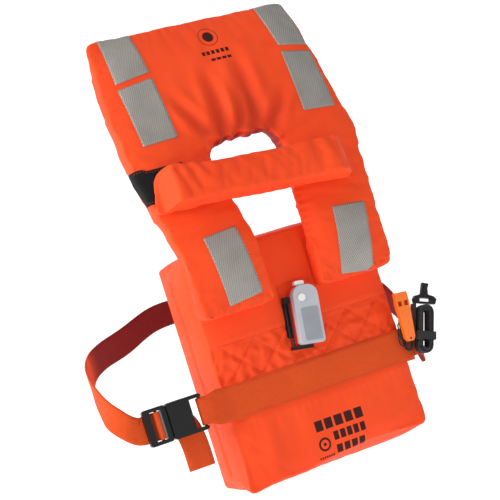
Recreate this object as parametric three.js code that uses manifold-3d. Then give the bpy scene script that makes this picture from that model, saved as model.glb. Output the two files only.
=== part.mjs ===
// A foam life jacket of the ship's kind, standing as it is worn: a deep chest block, two lobes that run
// down its front from the shoulders, a collar panel that leans back behind the neck, a pillow that closes
// the neck opening, a waist belt with a side-release buckle, a light, a whistle and a buddy line.
//
// Millimetres. +Z is up, -Y is the jacket's front and +X is the wearer's left. The origin is the middle of
// the chest block's back face, the face that lies on the wearer's chest.

import * as THREE from "three";
import { mergeVertices } from "three/addons/utils/BufferGeometryUtils.js";
import Module from "manifold-3d";

const wasm = await Module();
wasm.setup();

// ---------------------------------------------------------------- driving dimensions

const GAP = 0.4; // between two pieces that touch
const CLOTH = 1.5; // wall of a cover
const PACKING = 0.6; // between a cover and the foam in it

const chest = { width: 284, depth: 122, height: 336, corner: 24, round: 10, slabs: 3 };
const lobe = { thickness: 37.5, bottom: 76, outer: 148, inner: 37, corner: 10, round: 8 };
const shoulder = { z: 298, halfWidth: 174, setBack: 38 };
const collar = { height: 205, topHalfWidth: 161, lean: 19, corner: 12, round: 8 };
const neck = { radius: 52, z: 266, bottomHalfWidth: 36 };
const pillow = { length: 288, height: 60, thickness: 42, x: -13, z: 249, tilt: 4.6 };
const velcro = { height: 50, reach: 62, thickness: 1.2 };
const tape = { width: 50, length: 100, thickness: 0.6, between: 9 };
const belt = { width: 40, frontWidth: 49, thickness: 2.2, z: -43 };
const buckle = { rim: 5, slotPlay: 1.5, thickness: 9, body: 33.5, beside: 77 };
const web = { bar: 2.3, gap: 0.5 }; // the round bars of the buckle and the webbing's room round them
const prongPlay = 0.3;
const light = { width: 38, length: 84, front: 13, back: 9, tilt: 8, x: 7, z: 43, lead: 2.4 };
const whistle = { width: 22, length: 72, thickness: 9, tilt: 5, beside: 12.5, z: -4, wall: 1.4 };
const lanyard = { diameter: 2.2, layers: 2, loop: 14, run: 36, beside: 10.5, z: -28 };
const buddy = { diameter: 4, turns: 5, loop: 20, run: 48, beside: 39, ahead: -9, z: -30, tilt: 20 };

const FRONT = -chest.depth; // the chest block's front face
const chestHalf = chest.width / 2;
const chestTop = chest.height / 2;
const DEG = Math.PI / 180;
const jacket = new THREE.Group();

// ---------------------------------------------------------------- materials

const finish = (color, roughness, metalness = 0) =>
  new THREE.MeshStandardMaterial({ color, roughness, metalness });
const orangeCloth = finish(0xf4512c, 0.75);
const orangeWebbing = finish(0xe8603a, 0.85);
const foam = finish(0xe9e4d4, 0.9);
const reflective = finish(0xb9b9b4, 0.35);
const blackPile = finish(0x1b1b1d, 0.95);
const blackPlastic = finish(0x101114, 0.4);
const blackCord = finish(0x15151a, 0.85);
const greyPlastic = finish(0xa9adb4, 0.35);
const redPlastic = finish(0xd8301f, 0.45);
const whitePlastic = finish(0xe9ebe6, 0.3);
const labelStock = finish(0x8f949a, 0.5);
const whistleOrange = finish(0xff7a1e, 0.35);
const cellSteel = finish(0x8a8d92, 0.3, 0.8);
const boardGreen = finish(0x2f6b45, 0.5);

// ---------------------------------------------------------------- solids

// A closed geometry as a manifold-3d solid.
function solidOf(geometry) {
  const bare = geometry.index ? geometry.toNonIndexed() : geometry.clone();
  for (const name of ["normal", "uv"]) bare.deleteAttribute(name);
  const merged = mergeVertices(bare, 1e-4);
  return new wasm.Manifold(
    new wasm.Mesh({
      numProp: 3,
      vertProperties: merged.attributes.position.array,
      triVerts: new Uint32Array(merged.index.array),
    }),
  );
}

function geometryOf(solid) {
  const mesh = solid.getMesh();
  const position = new Float32Array(mesh.numVert * 3);
  for (let i = 0; i < mesh.numVert; i++) {
    position.set(mesh.vertProperties.subarray(i * mesh.numProp, i * mesh.numProp + 3), i * 3);
  }
  return new THREE.BufferGeometry()
    .setAttribute("position", new THREE.BufferAttribute(position, 3))
    .setIndex(new THREE.BufferAttribute(mesh.triVerts, 1));
}

const cut = (body, ...cutters) =>
  geometryOf(cutters.reduce((left, c) => left.subtract(solidOf(c)), solidOf(body)));
const join = (...bodies) =>
  geometryOf(bodies.slice(1).reduce((sum, b) => sum.add(solidOf(b)), solidOf(bodies[0])));

function box(x0, x1, y0, y1, z0, z1) {
  return new THREE.BoxGeometry(x1 - x0, y1 - y0, z1 - z0).translate(
    (x0 + x1) / 2,
    (y0 + y1) / 2,
    (z0 + z1) / 2,
  );
}

// A closed skin over rings of the same number of points, with a flat cap on each end.
function loft(rings) {
  const count = rings[0].length;
  const position = [];
  const index = [];
  for (const ring of rings) for (const p of ring) position.push(p.x, p.y, p.z);
  for (let r = 0; r < rings.length - 1; r++) {
    for (let i = 0; i < count; i++) {
      const a = r * count + i;
      const b = r * count + ((i + 1) % count);
      index.push(a, b, b + count, a, b + count, a + count);
    }
  }
  const last = (rings.length - 1) * count;
  for (let i = 1; i < count - 1; i++) {
    index.push(0, i + 1, i);
    index.push(last, last + i, last + i + 1);
  }
  return new THREE.BufferGeometry()
    .setAttribute("position", new THREE.Float32BufferAttribute(position, 3))
    .setIndex(index);
}

// A level rectangle with round corners, counter-clockwise from above.
function ringAt({ z, left, right, front, back }, inset, corner) {
  const cornerSteps = 3;
  const radius = Math.max(corner - inset, 1);
  const x = [left + inset + radius, right - inset - radius];
  const y = [front + inset + radius, back - inset - radius];
  const centres = [[x[1], y[0]], [x[1], y[1]], [x[0], y[1]], [x[0], y[0]]];
  return centres.flatMap(([cx, cy], quarter) =>
    Array.from({ length: cornerSteps + 1 }, (_, i) => {
      const turn = (quarter - 1 + i / cornerSteps) * (Math.PI / 2);
      return new THREE.Vector3(cx + radius * Math.cos(turn), cy + radius * Math.sin(turn), z);
    }),
  );
}

// A padded piece from its levels, low to high. A positive inset gives the space inside its cover.
function pad(levels, { inset = 0, corner, tips = levels.map(() => 0) }) {
  const last = levels.length - 1;
  const rings = levels.map((level, i) => {
    const z = i === 0 ? level.z + inset : i === last ? level.z - inset : level.z;
    return ringAt({ ...level, z }, inset + tips[i], corner);
  });
  return loft(rings);
}

// A cover with the foam in it. The slot is where the foam goes in.
function coverAndFoam(name, levels, options, slot, cutter) {
  const hollow = pad(levels, { ...options, inset: CLOTH });
  const filling = pad(levels, { ...options, inset: CLOTH + PACKING });
  const outside = pad(levels, options);
  if (!cutter) {
    return { cover: node(name + "_cover", cut(outside, hollow, slot), orangeCloth), filling };
  }
  const cavity = cut(hollow, cutter(CLOTH));
  return {
    cover: node(name + "_cover", cut(outside, cutter(0), cavity, slot), orangeCloth),
    filling: cut(filling, cutter(CLOTH + PACKING)),
  };
}

// A flat band along a smooth line. across(tangent) gives the direction of its width.
function band(points, { width, thickness, across, perSpan = 3 }) {
  const line = new THREE.CatmullRomCurve3(
    points.map((p) => new THREE.Vector3(...p)),
    false,
    "centripetal",
  );
  const widthAt = typeof width === "function" ? width : () => width;
  const steps = (points.length - 1) * perSpan;
  const rings = Array.from({ length: steps + 1 }, (_, i) => {
    const at = line.getPoint(i / steps);
    const tangent = line.getTangent(i / steps);
    const side = across(tangent).multiplyScalar(widthAt(at) / 2);
    const face = new THREE.Vector3().crossVectors(tangent, side).setLength(thickness / 2);
    return [
      at.clone().add(side).add(face),
      at.clone().sub(side).add(face),
      at.clone().sub(side).sub(face),
      at.clone().add(side).sub(face),
    ];
  });
  return outward(loft(rings));
}

// The geometry with its faces turned to point outwards.
function outward(geometry) {
  const solid = solidOf(geometry);
  if (solid.volume() > 0) return geometry;
  const index = geometry.index.array;
  for (let i = 0; i < index.length; i += 3) [index[i], index[i + 1]] = [index[i + 1], index[i]];
  return geometry;
}

const UP = new THREE.Vector3(0, 0, 1);
const BACK = new THREE.Vector3(0, 1, 0);
const upright = (tangent) => UP.clone().addScaledVector(tangent, -tangent.dot(UP)).normalize();
const inPlane = (tangent) => new THREE.Vector3().crossVectors(tangent, BACK).normalize();

// A round cord along a smooth line.
function cord(points, diameter, steps) {
  const sides = 8;
  const section = new THREE.Shape(
    Array.from({ length: sides }, (_, i) => {
      const turn = (2 * Math.PI * i) / sides;
      return new THREE.Vector2(Math.cos(turn), Math.sin(turn)).multiplyScalar(diameter / 2);
    }),
  );
  const extrudePath = new THREE.CatmullRomCurve3(points.map((p) => new THREE.Vector3(...p)));
  return new THREE.ExtrudeGeometry(section, { steps, bevelEnabled: false, extrudePath });
}

// An outline in the X-Z plane, grown by depth from y towards the front.
function plate(outline, y, depth, edge = 0) {
  return new THREE.ExtrudeGeometry(outline, {
    depth: depth - 2 * edge,
    bevelEnabled: edge > 0,
    bevelThickness: edge,
    bevelSize: edge,
    bevelOffset: -edge,
    bevelSegments: 2,
    curveSegments: 8,
  })
    .translate(0, 0, edge)
    .rotateX(Math.PI / 2)
    .translate(0, y, 0);
}

// A rectangle with its own radius on the top and the bottom corners, centred on the origin.
function roundedOutline(width, height, topRadius, bottomRadius) {
  const [x, z] = [width / 2, height / 2];
  const shape = new THREE.Shape();
  shape.moveTo(-x + bottomRadius, -z);
  shape.lineTo(x - bottomRadius, -z);
  shape.absarc(x - bottomRadius, -z + bottomRadius, bottomRadius, -Math.PI / 2, 0);
  shape.lineTo(x, z - topRadius);
  shape.absarc(x - topRadius, z - topRadius, topRadius, 0, Math.PI / 2);
  shape.lineTo(-x + topRadius, z);
  shape.absarc(-x + topRadius, z - topRadius, topRadius, Math.PI / 2, Math.PI);
  shape.lineTo(-x, -z + bottomRadius);
  shape.absarc(-x + bottomRadius, -z + bottomRadius, bottomRadius, Math.PI, 1.5 * Math.PI);
  return shape;
}

function node(name, geometry, material, parent = jacket) {
  const mesh = new THREE.Mesh(geometry, material);
  mesh.name = name;
  parent.add(mesh);
  return mesh;
}

// ---------------------------------------------------------------- chest block

function chestLevels() {
  const level = (z) => ({ z, left: -chestHalf, right: chestHalf, front: FRONT, back: 0 });
  return [-chestTop, -chestTop + chest.round, chestTop - chest.round, chestTop].map(level);
}

function makeChest() {
  const options = { corner: chest.corner, tips: [chest.round, 0, 0, chest.round] };
  const slotHalf = chest.width / 3;
  const slot = box(-slotHalf, slotHalf, FRONT / 2 - 2, FRONT / 2 + 2, -chestTop - 1, -chestTop + 3);
  const { filling } = coverAndFoam("chest", chestLevels(), options, slot);
  // The foam is a stack of sheets with a small space between them.
  const inside = CLOTH + PACKING;
  const pitch = (chest.depth - 2 * inside) / chest.slabs;
  for (let i = 0; i < chest.slabs; i++) {
    const [y0, y1] = [FRONT + inside + i * pitch, FRONT + inside + (i + 1) * pitch];
    const last = i === chest.slabs - 1;
    const sheet = box(-chestHalf, chestHalf, y0 - (i ? 0 : 1), y1 - (last ? -1 : GAP), -chestTop, chestTop);
    node(`chest_foam_${i + 1}`, geometryOf(solidOf(filling).intersect(solidOf(sheet))), foam);
  }
}

// ---------------------------------------------------------------- lobes and collar

// The front surface of the lobes and the collar, from the lobes' lower ends up to the collar's top:
// flat on the chest block, then leaning back over it, then leaning back with the collar.
const lobeFront = FRONT - GAP - lobe.thickness;
const shoulderFront = lobeFront + shoulder.setBack;
const onChest = chestTop - chest.round;
const collarTop = shoulder.z + collar.height;
const collarTopFront = shoulderFront + collar.height * Math.tan(collar.lean * DEG);

function between(z, from, to) {
  const share = THREE.MathUtils.clamp((z - from[0]) / (to[0] - from[0]), 0, 1);
  return THREE.MathUtils.lerp(from[1], to[1], share);
}
function frontAt(z) {
  if (z <= shoulder.z) return between(z, [onChest, lobeFront], [shoulder.z, shoulderFront]);
  return between(z, [shoulder.z, shoulderFront], [collarTop, collarTopFront]);
}
const outerAt = (z) => between(z, [onChest, lobe.outer + 3], [shoulder.z, shoulder.halfWidth]);

// Half the width of the neck opening at a height: tapered below the neck's centre, round above it.
function neckAt(z) {
  if (z < neck.z) return between(z, [chestTop, neck.bottomHalfWidth], [neck.z, neck.radius]);
  return Math.sqrt(Math.max(neck.radius ** 2 - (z - neck.z) ** 2, 0));
}

function makeLobe(side, sign) {
  const lastRing = shoulder.z - GAP;
  const heights = [
    lobe.bottom,
    lobe.bottom + lobe.round,
    onChest,
    chestTop,
    (chestTop + neck.z) / 2,
    neck.z,
    (neck.z + lastRing) / 2,
    lastRing,
  ];
  const levels = heights.map((z) => {
    const inner = z < chestTop ? lobe.inner : neckAt(z);
    const outer = z < onChest ? lobe.outer : outerAt(z);
    const [left, right] = sign < 0 ? [-outer, -inner] : [inner, outer];
    return { z, left, right, front: frontAt(z), back: frontAt(z) + lobe.thickness };
  });
  const tips = heights.map((_, i) => (i === 0 ? lobe.round : 0));
  const middle = (sign * (neck.radius + shoulder.halfWidth)) / 2;
  const backHere = frontAt(neck.z) + lobe.thickness;
  const slotHalf = 30;
  const slot = box(middle - slotHalf, middle + slotHalf, backHere - 6, backHere + 9, neck.z - 2, neck.z + 2);
  const { filling } = coverAndFoam(`${side}_lobe`, levels, { corner: lobe.corner, tips }, slot);
  node(`${side}_lobe_foam`, filling, foam);
}

// Everything above the neck's round edge, grown by a wall.
function neckCutter(wall) {
  const reach = chest.depth * 2;
  return new THREE.CylinderGeometry(neck.radius + wall, neck.radius + wall, reach, 32).translate(
    0,
    0,
    neck.z,
  );
}

function makeCollar() {
  const heights = [
    shoulder.z + GAP,
    (shoulder.z + collarTop) / 2,
    collarTop - 2 * collar.round,
    collarTop - collar.round / 2,
    collarTop,
  ];
  const widest = (shoulder.z + collarTop) / 2;
  const halfAt = (z) => between(z, [widest, shoulder.halfWidth], [collarTop, collar.topHalfWidth]);
  const levels = heights.map((z) => ({
    z,
    left: -halfAt(z),
    right: halfAt(z),
    front: frontAt(z),
    back: frontAt(z) + lobe.thickness,
  }));
  const tips = [0, 0, 0, collar.round / 2, collar.round * 1.6];
  const slotZ = (shoulder.z + collarTop) / 2;
  const slotY = frontAt(slotZ) + lobe.thickness;
  const slot = box(-60, 60, slotY - 5, slotY + 5, slotZ - 2, slotZ + 2);
  const { filling } = coverAndFoam("collar", levels, { corner: collar.corner, tips }, slot, neckCutter);
  node("collar_foam", filling, foam);
}

// ---------------------------------------------------------------- reflective tape and hook-and-loop patch

// A thin piece that lies on the front surface between two heights, sheared sideways by its slant.
function onFront(z0, z1, x, width, thickness, slant = 0) {
  const heights = [z0, ...[onChest, shoulder.z].filter((z) => z > z0 && z < z1), z1];
  const levels = heights.map((z) => {
    const shift = slant * (z - (z0 + z1) / 2);
    const back = frontAt(z) - GAP;
    const [left, right] = [x + shift - width / 2, x + shift + width / 2];
    return { z, left, right, front: back - thickness, back };
  });
  return loft(
    levels.map(({ z, left, right, front, back }) => [
      new THREE.Vector3(left, front, z),
      new THREE.Vector3(right, front, z),
      new THREE.Vector3(right, back, z),
      new THREE.Vector3(left, back, z),
    ]),
  );
}

const lobeTapes = [
  { side: "left", x: -86, slant: -0.1 },
  { side: "right", x: 99, slant: 0.18 },
];
const collarTapes = [
  { side: "left", x: -115 },
  { side: "right", x: 138 },
];
const lobeTapeBottom = lobe.bottom + 6;
const collarTapeBottom = shoulder.z + 32;
const tapeRise = Math.cos(collar.lean * DEG);

function makeTapes() {
  for (const { side, x, slant } of lobeTapes) {
    const top = lobeTapeBottom + tape.length;
    const strip = onFront(lobeTapeBottom, top, x, tape.width, tape.thickness, slant);
    node(`lobe_tape_${side}`, strip, reflective);
  }
  for (const { side, x } of collarTapes) {
    const top = collarTapeBottom + tape.length * tapeRise;
    const strip = onFront(collarTapeBottom, top, x, tape.width, tape.thickness);
    node(`collar_tape_lower_${side}`, strip, reflective);
    node(`collar_tape_upper_${side}`, wrapTape(x, top + tape.between * tapeRise), reflective);
  }
}

// The upper tape goes up the collar's front, over its round top edge and a little way down its back.
function wrapTape(x, bottom) {
  const edge = [
    [bottom, 0, 0],
    [collarTop - 2 * collar.round, 0, 0],
    [collarTop - collar.round / 2, collar.round / 2, 0],
    [collarTop, collar.round * 1.6, 0],
    [collarTop, collar.round * 1.6, 1],
    [collarTop - collar.round / 2, collar.round / 2, 1],
    [collarTop - 2 * collar.round, 0, 1],
  ];
  const line = edge.map(([z, tip, onBack]) => {
    const front = frontAt(z);
    return new THREE.Vector2(onBack ? front + lobe.thickness - tip : front + tip, z);
  });
  const grown = (distance) =>
    line.map((p, i) => {
      const before = line[Math.max(i - 1, 0)];
      const after = line[Math.min(i + 1, line.length - 1)];
      const along = after.clone().sub(before).normalize();
      return p.clone().add(new THREE.Vector2(-along.y, along.x).multiplyScalar(distance));
    });
  const outline = [...grown(GAP + tape.thickness), ...grown(GAP + 0.3).reverse()];
  const strip = new THREE.ExtrudeGeometry(new THREE.Shape(outline), {
    depth: tape.width,
    bevelEnabled: false,
  });
  // The outline is drawn as (y, z) and grown along x.
  const toJacket = new THREE.Matrix4().set(0, 0, 1, x - tape.width / 2, 1, 0, 0, 0, 0, 1, 0, 0, 0, 0, 0, 1);
  return strip.applyMatrix4(toJacket);
}

const pillowSeatY = frontAt(pillow.z);
const velcroOuter = -(outerAt(pillow.z) - lobe.corner);
const velcroBottom = pillow.z - 4;

function makeVelcro() {
  const x = velcroOuter + velcro.reach / 2;
  const top = Math.min(velcroBottom + velcro.height, shoulder.z - 2);
  node("velcro_loop_patch", onFront(velcroBottom, top, x, velcro.reach, velcro.thickness), blackPile);
}

// ---------------------------------------------------------------- neck pillow

// The pillow's own frame lies on the surface it closes on: x along it, z across it and y through it.
const pillowFrame = new THREE.Group();
const pillowStandOff = velcro.thickness * 2 + GAP * 3 + 0.2;
const pillowLean = Math.atan2(shoulder.setBack, shoulder.z - onChest);
pillowFrame.position.set(pillow.x, pillowSeatY - pillowStandOff, pillow.z);
pillowFrame.rotation.set(-pillowLean, pillow.tilt * DEG, 0);
jacket.add(pillowFrame);

function makePillow() {
  // Built standing, low end at z = 0, then laid along x.
  const half = pillow.length / 2;
  const level = (z) => ({
    z,
    left: -pillow.height / 2,
    right: pillow.height / 2,
    front: -pillow.thickness,
    back: 0,
  });
  const levels = [-half, -half + 12, half - 12, half].map(level);
  const options = { corner: 16, tips: [9, 0, 0, 9] };
  const laid = (geometry) => geometry.rotateY(Math.PI / 2);
  const outside = pad(levels, options);
  const hollow = pad(levels, { ...options, inset: CLOTH });
  const slot = box(-2, 2, -CLOTH - 2, 1, -half / 3, half / 3);
  node("neck_pillow_cover", laid(cut(outside, hollow, slot)), orangeCloth, pillowFrame);
  const filling = pad(levels, { ...options, inset: CLOTH + PACKING });
  node("neck_pillow_foam", laid(filling), foam, pillowFrame);
  // The hook patch on the pillow's back at its free end, facing the loop patch.
  const hookHeight = pillow.height - 24;
  const hook = box(
    -half + 14,
    -half + velcro.reach - 8,
    GAP,
    GAP + velcro.thickness,
    -hookHeight / 2,
    hookHeight / 2,
  );
  node("velcro_hook_patch", hook, blackPile, pillowFrame);
  // The flange by which the pillow's fixed end is sewn to the right lobe.
  const seat = pillowStandOff * Math.cos(pillowLean) - GAP;
  const flangeHalf = pillow.height / 2 - 4;
  const flange = box(half + 0.6, half + 14, GAP, seat, -flangeHalf, flangeHalf);
  node("pillow_seam_flange", flange, orangeCloth, pillowFrame);
}

// ---------------------------------------------------------------- waist belt

// The buckle's frame: x along the belt towards the female half, y to the back, z up.
const buckleFrame = new THREE.Group();
const buckleY = FRONT - 5;
const buckleX = -chestHalf - buckle.beside;
const webbing = belt.width - 2; // pulled narrow where it goes through the buckle
const buckleHeight = webbing + 2 * (buckle.slotPlay + buckle.rim);
buckleFrame.position.set(buckleX, buckleY, belt.z + 3);
jacket.add(buckleFrame);
const buckleHalf = 44; // from the buckle's middle to the male half's end
const slotBarX = -24.5; // the male half's round adjuster bar
const femaleBarX = 39.5; // the female half's round webbing bar
const wrap = web.bar + web.gap + belt.thickness / 2; // webbing's centre line round a bar
const webBehind = buckle.thickness / 2 + 0.6 + belt.thickness / 2; // and behind the male half
const inJacket = ([x, y]) => [buckleX + x, buckleY + y, buckleFrame.position.z];

// The webbing's centre line round a bar, from one angle to another.
function roundBar(x, from, to) {
  const steps = 6;
  return Array.from({ length: steps + 1 }, (_, i) => {
    const turn = THREE.MathUtils.lerp(from, to, i / steps) * DEG;
    return [x + wrap * Math.cos(turn), wrap * Math.sin(turn)];
  });
}

function makeBelt() {
  const onFace = FRONT - GAP - belt.thickness / 2;
  const frontZ = belt.z;
  // The belt's line where its two halves meet behind the wearer.
  const alongBack = (x) => [30 + x, 197 - 0.03 * x, 100 - 0.08 * x];

  // Sewn round the female half's bar, across the chest and off its right edge.
  const sewn = [
    [femaleBarX + 30, wrap],
    [femaleBarX + 12, wrap],
    ...roundBar(femaleBarX, 90, 270),
  ].map(inJacket);
  const acrossChest = [
    [-chestHalf - 20, buckleY - wrap, frontZ + 2],
    [-chestHalf + 6, onFace - 1.5, frontZ],
    [-chestHalf + 28, onFace, frontZ],
    [0, onFace, frontZ],
    [chestHalf - 24, onFace, frontZ],
    [chestHalf + 6, onFace + 1.6, frontZ],
    [chestHalf + 18, onFace + 5.4, frontZ - 1],
  ];
  const frontWidth = (at) =>
    between(at.x, [-chestHalf - 34, webbing], [-chestHalf - 8, belt.frontWidth]);
  const front = { width: frontWidth, thickness: belt.thickness, across: upright };
  node("belt_front", band([...sewn, ...acrossChest], front), orangeWebbing);

  const plain = { width: belt.width, thickness: belt.thickness, across: upright };
  const fromRight = [
    [chestHalf + 18.8, onFace + 5.65, frontZ - 1.07],
    [chestHalf + 30.8, onFace + 9.45, frontZ - 2.07],
    [chestHalf + 43, FRONT + 25, -55],
    [chestHalf + 55, FRONT + 57, -60],
    [chestHalf + 73, -15, -32],
    [chestHalf + 86, 35, 12],
    [chestHalf + 77, 90, 48],
    [chestHalf + 37, 145, 77],
    [chestHalf - 32, 184, 92],
    alongBack(18),
    alongBack(0),
  ];
  node("belt_back_right", band(fromRight, plain), orangeWebbing);

  const roundAdjuster = [
    [-buckleHalf - 6, webBehind + 1],
    [-38, webBehind + 0.4],
    [-34.6, webBehind + 0.2],
    [-31, 4.9],
    ...roundBar(slotBarX, 165, 380),
  ].map(inJacket);
  const fromBack = [
    alongBack(-GAP),
    alongBack(-18),
    [-60, 178, 107],
    [-130, 130, 100],
    [-chestHalf - 52, 80, 81],
    [-chestHalf - 105, 30, 67],
    [-chestHalf - 139, -15, 56],
    [-chestHalf - 156, FRONT + 67, 41],
    [-chestHalf - 160, FRONT + 34, 17],
    [-chestHalf - 151, FRONT + 13, -12],
    [-chestHalf - 137, FRONT + 4, -33],
  ];
  const left = band([...fromBack, ...roundAdjuster], { ...plain, width: webbing });
  node("belt_back_left", left, orangeWebbing);

  // The loose end leaves the adjuster behind the buckle and turns down.
  const tailY = buckleY + webBehind + 1.4;
  const tailZ = buckleFrame.position.z;
  const tail = [
    [buckleX - 17, tailY, tailZ],
    [buckleX + 2, tailY, tailZ - 1],
    [buckleX + 13, tailY + 1, tailZ - 13],
    [buckleX + 18, tailY + 3, tailZ - 29],
    [buckleX + 20, tailY + 4, tailZ - 50],
    [buckleX + 20, tailY + 4, tailZ - 74],
  ];
  const hanging = { ...plain, width: webbing, across: inPlane };
  node("belt_tail", band(tail, hanging), orangeWebbing);
}

// ---------------------------------------------------------------- buckle

function makeBuckle() {
  const half = buckleHeight / 2;
  const deep = buckle.thickness / 2;
  const mouth = -9.5;
  const bodyEnd = mouth + buckle.body;
  const side = 4; // the female half's side walls
  const cavityZ = half - side;
  const cavityY = 3.2;
  const bodyDeep = deep + 1.5;

  // Male half: a frame with a round adjuster bar, and a guide tongue in its middle.
  const frameOutline = plate(roundedOutline(buckleHalf - 10, buckleHeight, 4, 4), deep, 2 * deep, 1);
  frameOutline.translate((-buckleHalf - 10) / 2, 0, 0);
  const slotHalf = half - buckle.rim;
  const slot = box(-34, -18, -deep - 1, deep + 1, -slotHalf, slotHalf);
  const bar = new THREE.CylinderGeometry(web.bar, web.bar, buckleHeight - 6, 12)
    .rotateX(Math.PI / 2)
    .translate(slotBarX, 0, 0);
  const tongue = box(-11, bodyEnd - 8, -2, 2, -6, 6);
  node("buckle_male", join(cut(frameOutline, slot), bar, tongue), blackPlastic, buckleFrame);

  // The two prongs, which flex towards the tongue.
  for (const [name, sign] of [["upper", 1], ["lower", -1]]) {
    const prong = new THREE.Shape();
    const outer = sign * (cavityZ - prongPlay);
    prong.moveTo(mouth + 0.2, sign * 11);
    prong.lineTo(bodyEnd - 10, sign * 12);
    prong.lineTo(bodyEnd - 4, sign * 15);
    prong.lineTo(bodyEnd - 6, outer);
    prong.lineTo(4, outer);
    prong.lineTo(mouth + 0.2, sign * 15);
    node(`buckle_prong_${name}`, outward(plate(prong, 2.5, 5)), blackPlastic, buckleFrame);
  }

  // Female half: a flat housing with side windows, and rails to a round webbing bar.
  const rails = plate(roundedOutline(femaleBarX + 3 - mouth, buckleHeight, 4, 4), bodyDeep, 2 * bodyDeep, 1);
  rails.translate((mouth + femaleBarX + 3) / 2, 0, 0);
  const cavity = box(mouth - 1, bodyEnd - 3, -cavityY, cavityY, -cavityZ, cavityZ);
  const window = box(4, bodyEnd - 5, -cavityY, cavityY, -half - 1, half + 1);
  const webSlot = box(bodyEnd, femaleBarX + 4, -bodyDeep - 1, bodyDeep + 1, -slotHalf, slotHalf);
  const webBar = new THREE.CylinderGeometry(web.bar, web.bar, buckleHeight - 6, 12)
    .rotateX(Math.PI / 2)
    .translate(femaleBarX, 0, 0);
  const housing = cut(rails, cavity, window, webSlot);
  node("buckle_female", join(housing, webBar), blackPlastic, buckleFrame);
}

// The belt's front face where it leaves the chest block's right edge.
const beltSideFront = FRONT - GAP - belt.thickness + 2.2;

// ---------------------------------------------------------------- light

const lightFrame = new THREE.Group();
const bracketDepth = 3;
lightFrame.position.set(light.x, FRONT - GAP - bracketDepth - GAP, light.z);
lightFrame.rotation.set(0, light.tilt * DEG, 0);
jacket.add(lightFrame);

function makeLight() {
  const [w, h] = [light.width, light.length];
  const wall = 1.6;
  const split = -light.back; // where the two halves of the case meet
  const face = split - light.front;

  const bracket = plate(roundedOutline(w + 12, h * 0.62, 5, 5), GAP + bracketDepth, bracketDepth);
  node("light_bracket", bracket.translate(-4, 0, -4), blackPlastic, lightFrame);

  const backCase = cut(
    plate(roundedOutline(w + 2, h, 15, 5), 0, light.back, 1),
    box(-w / 2 + 3, w / 2 - 3, split - 1, -wall, -h / 2 + 4, h / 2 - 14),
  );
  node("light_back_case", backCase, redPlastic, lightFrame);

  const button = { x: -7, z: h / 2 - 18, radius: 5.5 };
  const lens = { x: -5, width: 15 };
  const buttonHole = new THREE.CylinderGeometry(button.radius + 0.3, button.radius + 0.3, 8, 20)
    .translate(button.x, face, button.z);
  const lensHole = box(lens.x - 4, lens.x + 4, split - 8, split - 3, h / 2 - 6, h / 2 + 2);
  const inner = plate(roundedOutline(w - 2 * wall, h - 2 * wall, 13, 4), split + 1, light.front + 1 - wall);
  const shell = plate(roundedOutline(w, h, 15, 5), split - GAP, light.front - GAP, 1);
  node("light_front_case", cut(shell, inner, buttonHole, lensHole), greyPlastic, lightFrame);

  const stem = new THREE.CylinderGeometry(button.radius, button.radius, 4.5, 20);
  node("light_button", stem.translate(button.x, face - 1.5 + 2.25, button.z), whitePlastic, lightFrame);

  // The lamp's cap stands on the case, with a foot through it to the board.
  const cap = plate(roundedOutline(lens.width, 6, 2.8, 1.8), split - 1.5, 8, 0.8);
  cap.translate(lens.x, 0, h / 2 + GAP + 3);
  const stub = box(lens.x - 3.6, lens.x + 3.6, split - 7.6, split - 3.4, h / 2 - 4, h / 2 + 3);
  node("light_lens", join(cap, stub), whitePlastic, lightFrame);

  const boardTop = h / 2 - 5;
  node("light_board", box(-13, 13, split - 2.6, split - 1.2, h / 2 - 26, boardTop), boardGreen, lightFrame);
  const cell = { radius: 6.6, length: h / 2 + 2 };
  const cellZ = -h / 2 + 6 + cell.length / 2;
  for (const [i, x] of [-8, 8].entries()) {
    const can = new THREE.CylinderGeometry(cell.radius, cell.radius, cell.length, 20);
    can.rotateX(Math.PI / 2).translate(x, -wall - GAP - cell.radius, cellZ);
    node(`light_cell_${i + 1}`, can, cellSteel, lightFrame);
  }
  const label = plate(roundedOutline(25, cell.length + 2, 2, 2), face - GAP, 0.4);
  node("light_label", label.translate(2, 0, cellZ), labelStock, lightFrame);

  // The water sensor beside the case, and its two leads down to the foot under the case.
  const sensorX = -w / 2 - 6.4;
  const [sensorTop, footTop] = [h / 2 - 14, -h / 2 - GAP];
  const sensor = box(sensorX - 4.5, sensorX + 4, -11, -2, sensorTop - 9, sensorTop);
  node("light_sensor", sensor, blackPlastic, lightFrame);
  const foot = box(-w / 2 - 9, w / 2 - 16, -12, -1, footTop - 5, footTop);
  node("light_foot", foot, blackPlastic, lightFrame);
  for (const [name, lead] of [["outer", -2.2], ["inner", 2.2]]) {
    const line = [
      [sensorX + lead, -6.5, sensorTop - 9 - GAP],
      [sensorX + lead * 1.2, -6.8, sensorTop - 22],
      [sensorX + lead * 1.1, -6.8, footTop + 14],
      [sensorX + lead * 0.9, -6.5, footTop + GAP],
    ];
    node(`light_lead_${name}`, cord(line, light.lead, 20), blackCord, lightFrame);
  }
}

// ---------------------------------------------------------------- whistle and its lanyard

// The spare lanyard is wound into a small hank that is tied to the belt. The whistle lies on the tie.
const tieWall = 0.8;
const hankDepth = lanyard.layers * lanyard.diameter * 1.05;
const whistleBack = beltSideFront - 1.3 - GAP - hankDepth - 2 * (tieWall + PACKING) - GAP;
const hankMiddle = whistleBack + GAP + tieWall + PACKING + hankDepth / 2;

const whistleFrame = new THREE.Group();
whistleFrame.position.set(chestHalf + whistle.beside, whistleBack, whistle.z);
whistleFrame.rotation.set(0, whistle.tilt * DEG, 0);
jacket.add(whistleFrame);

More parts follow.
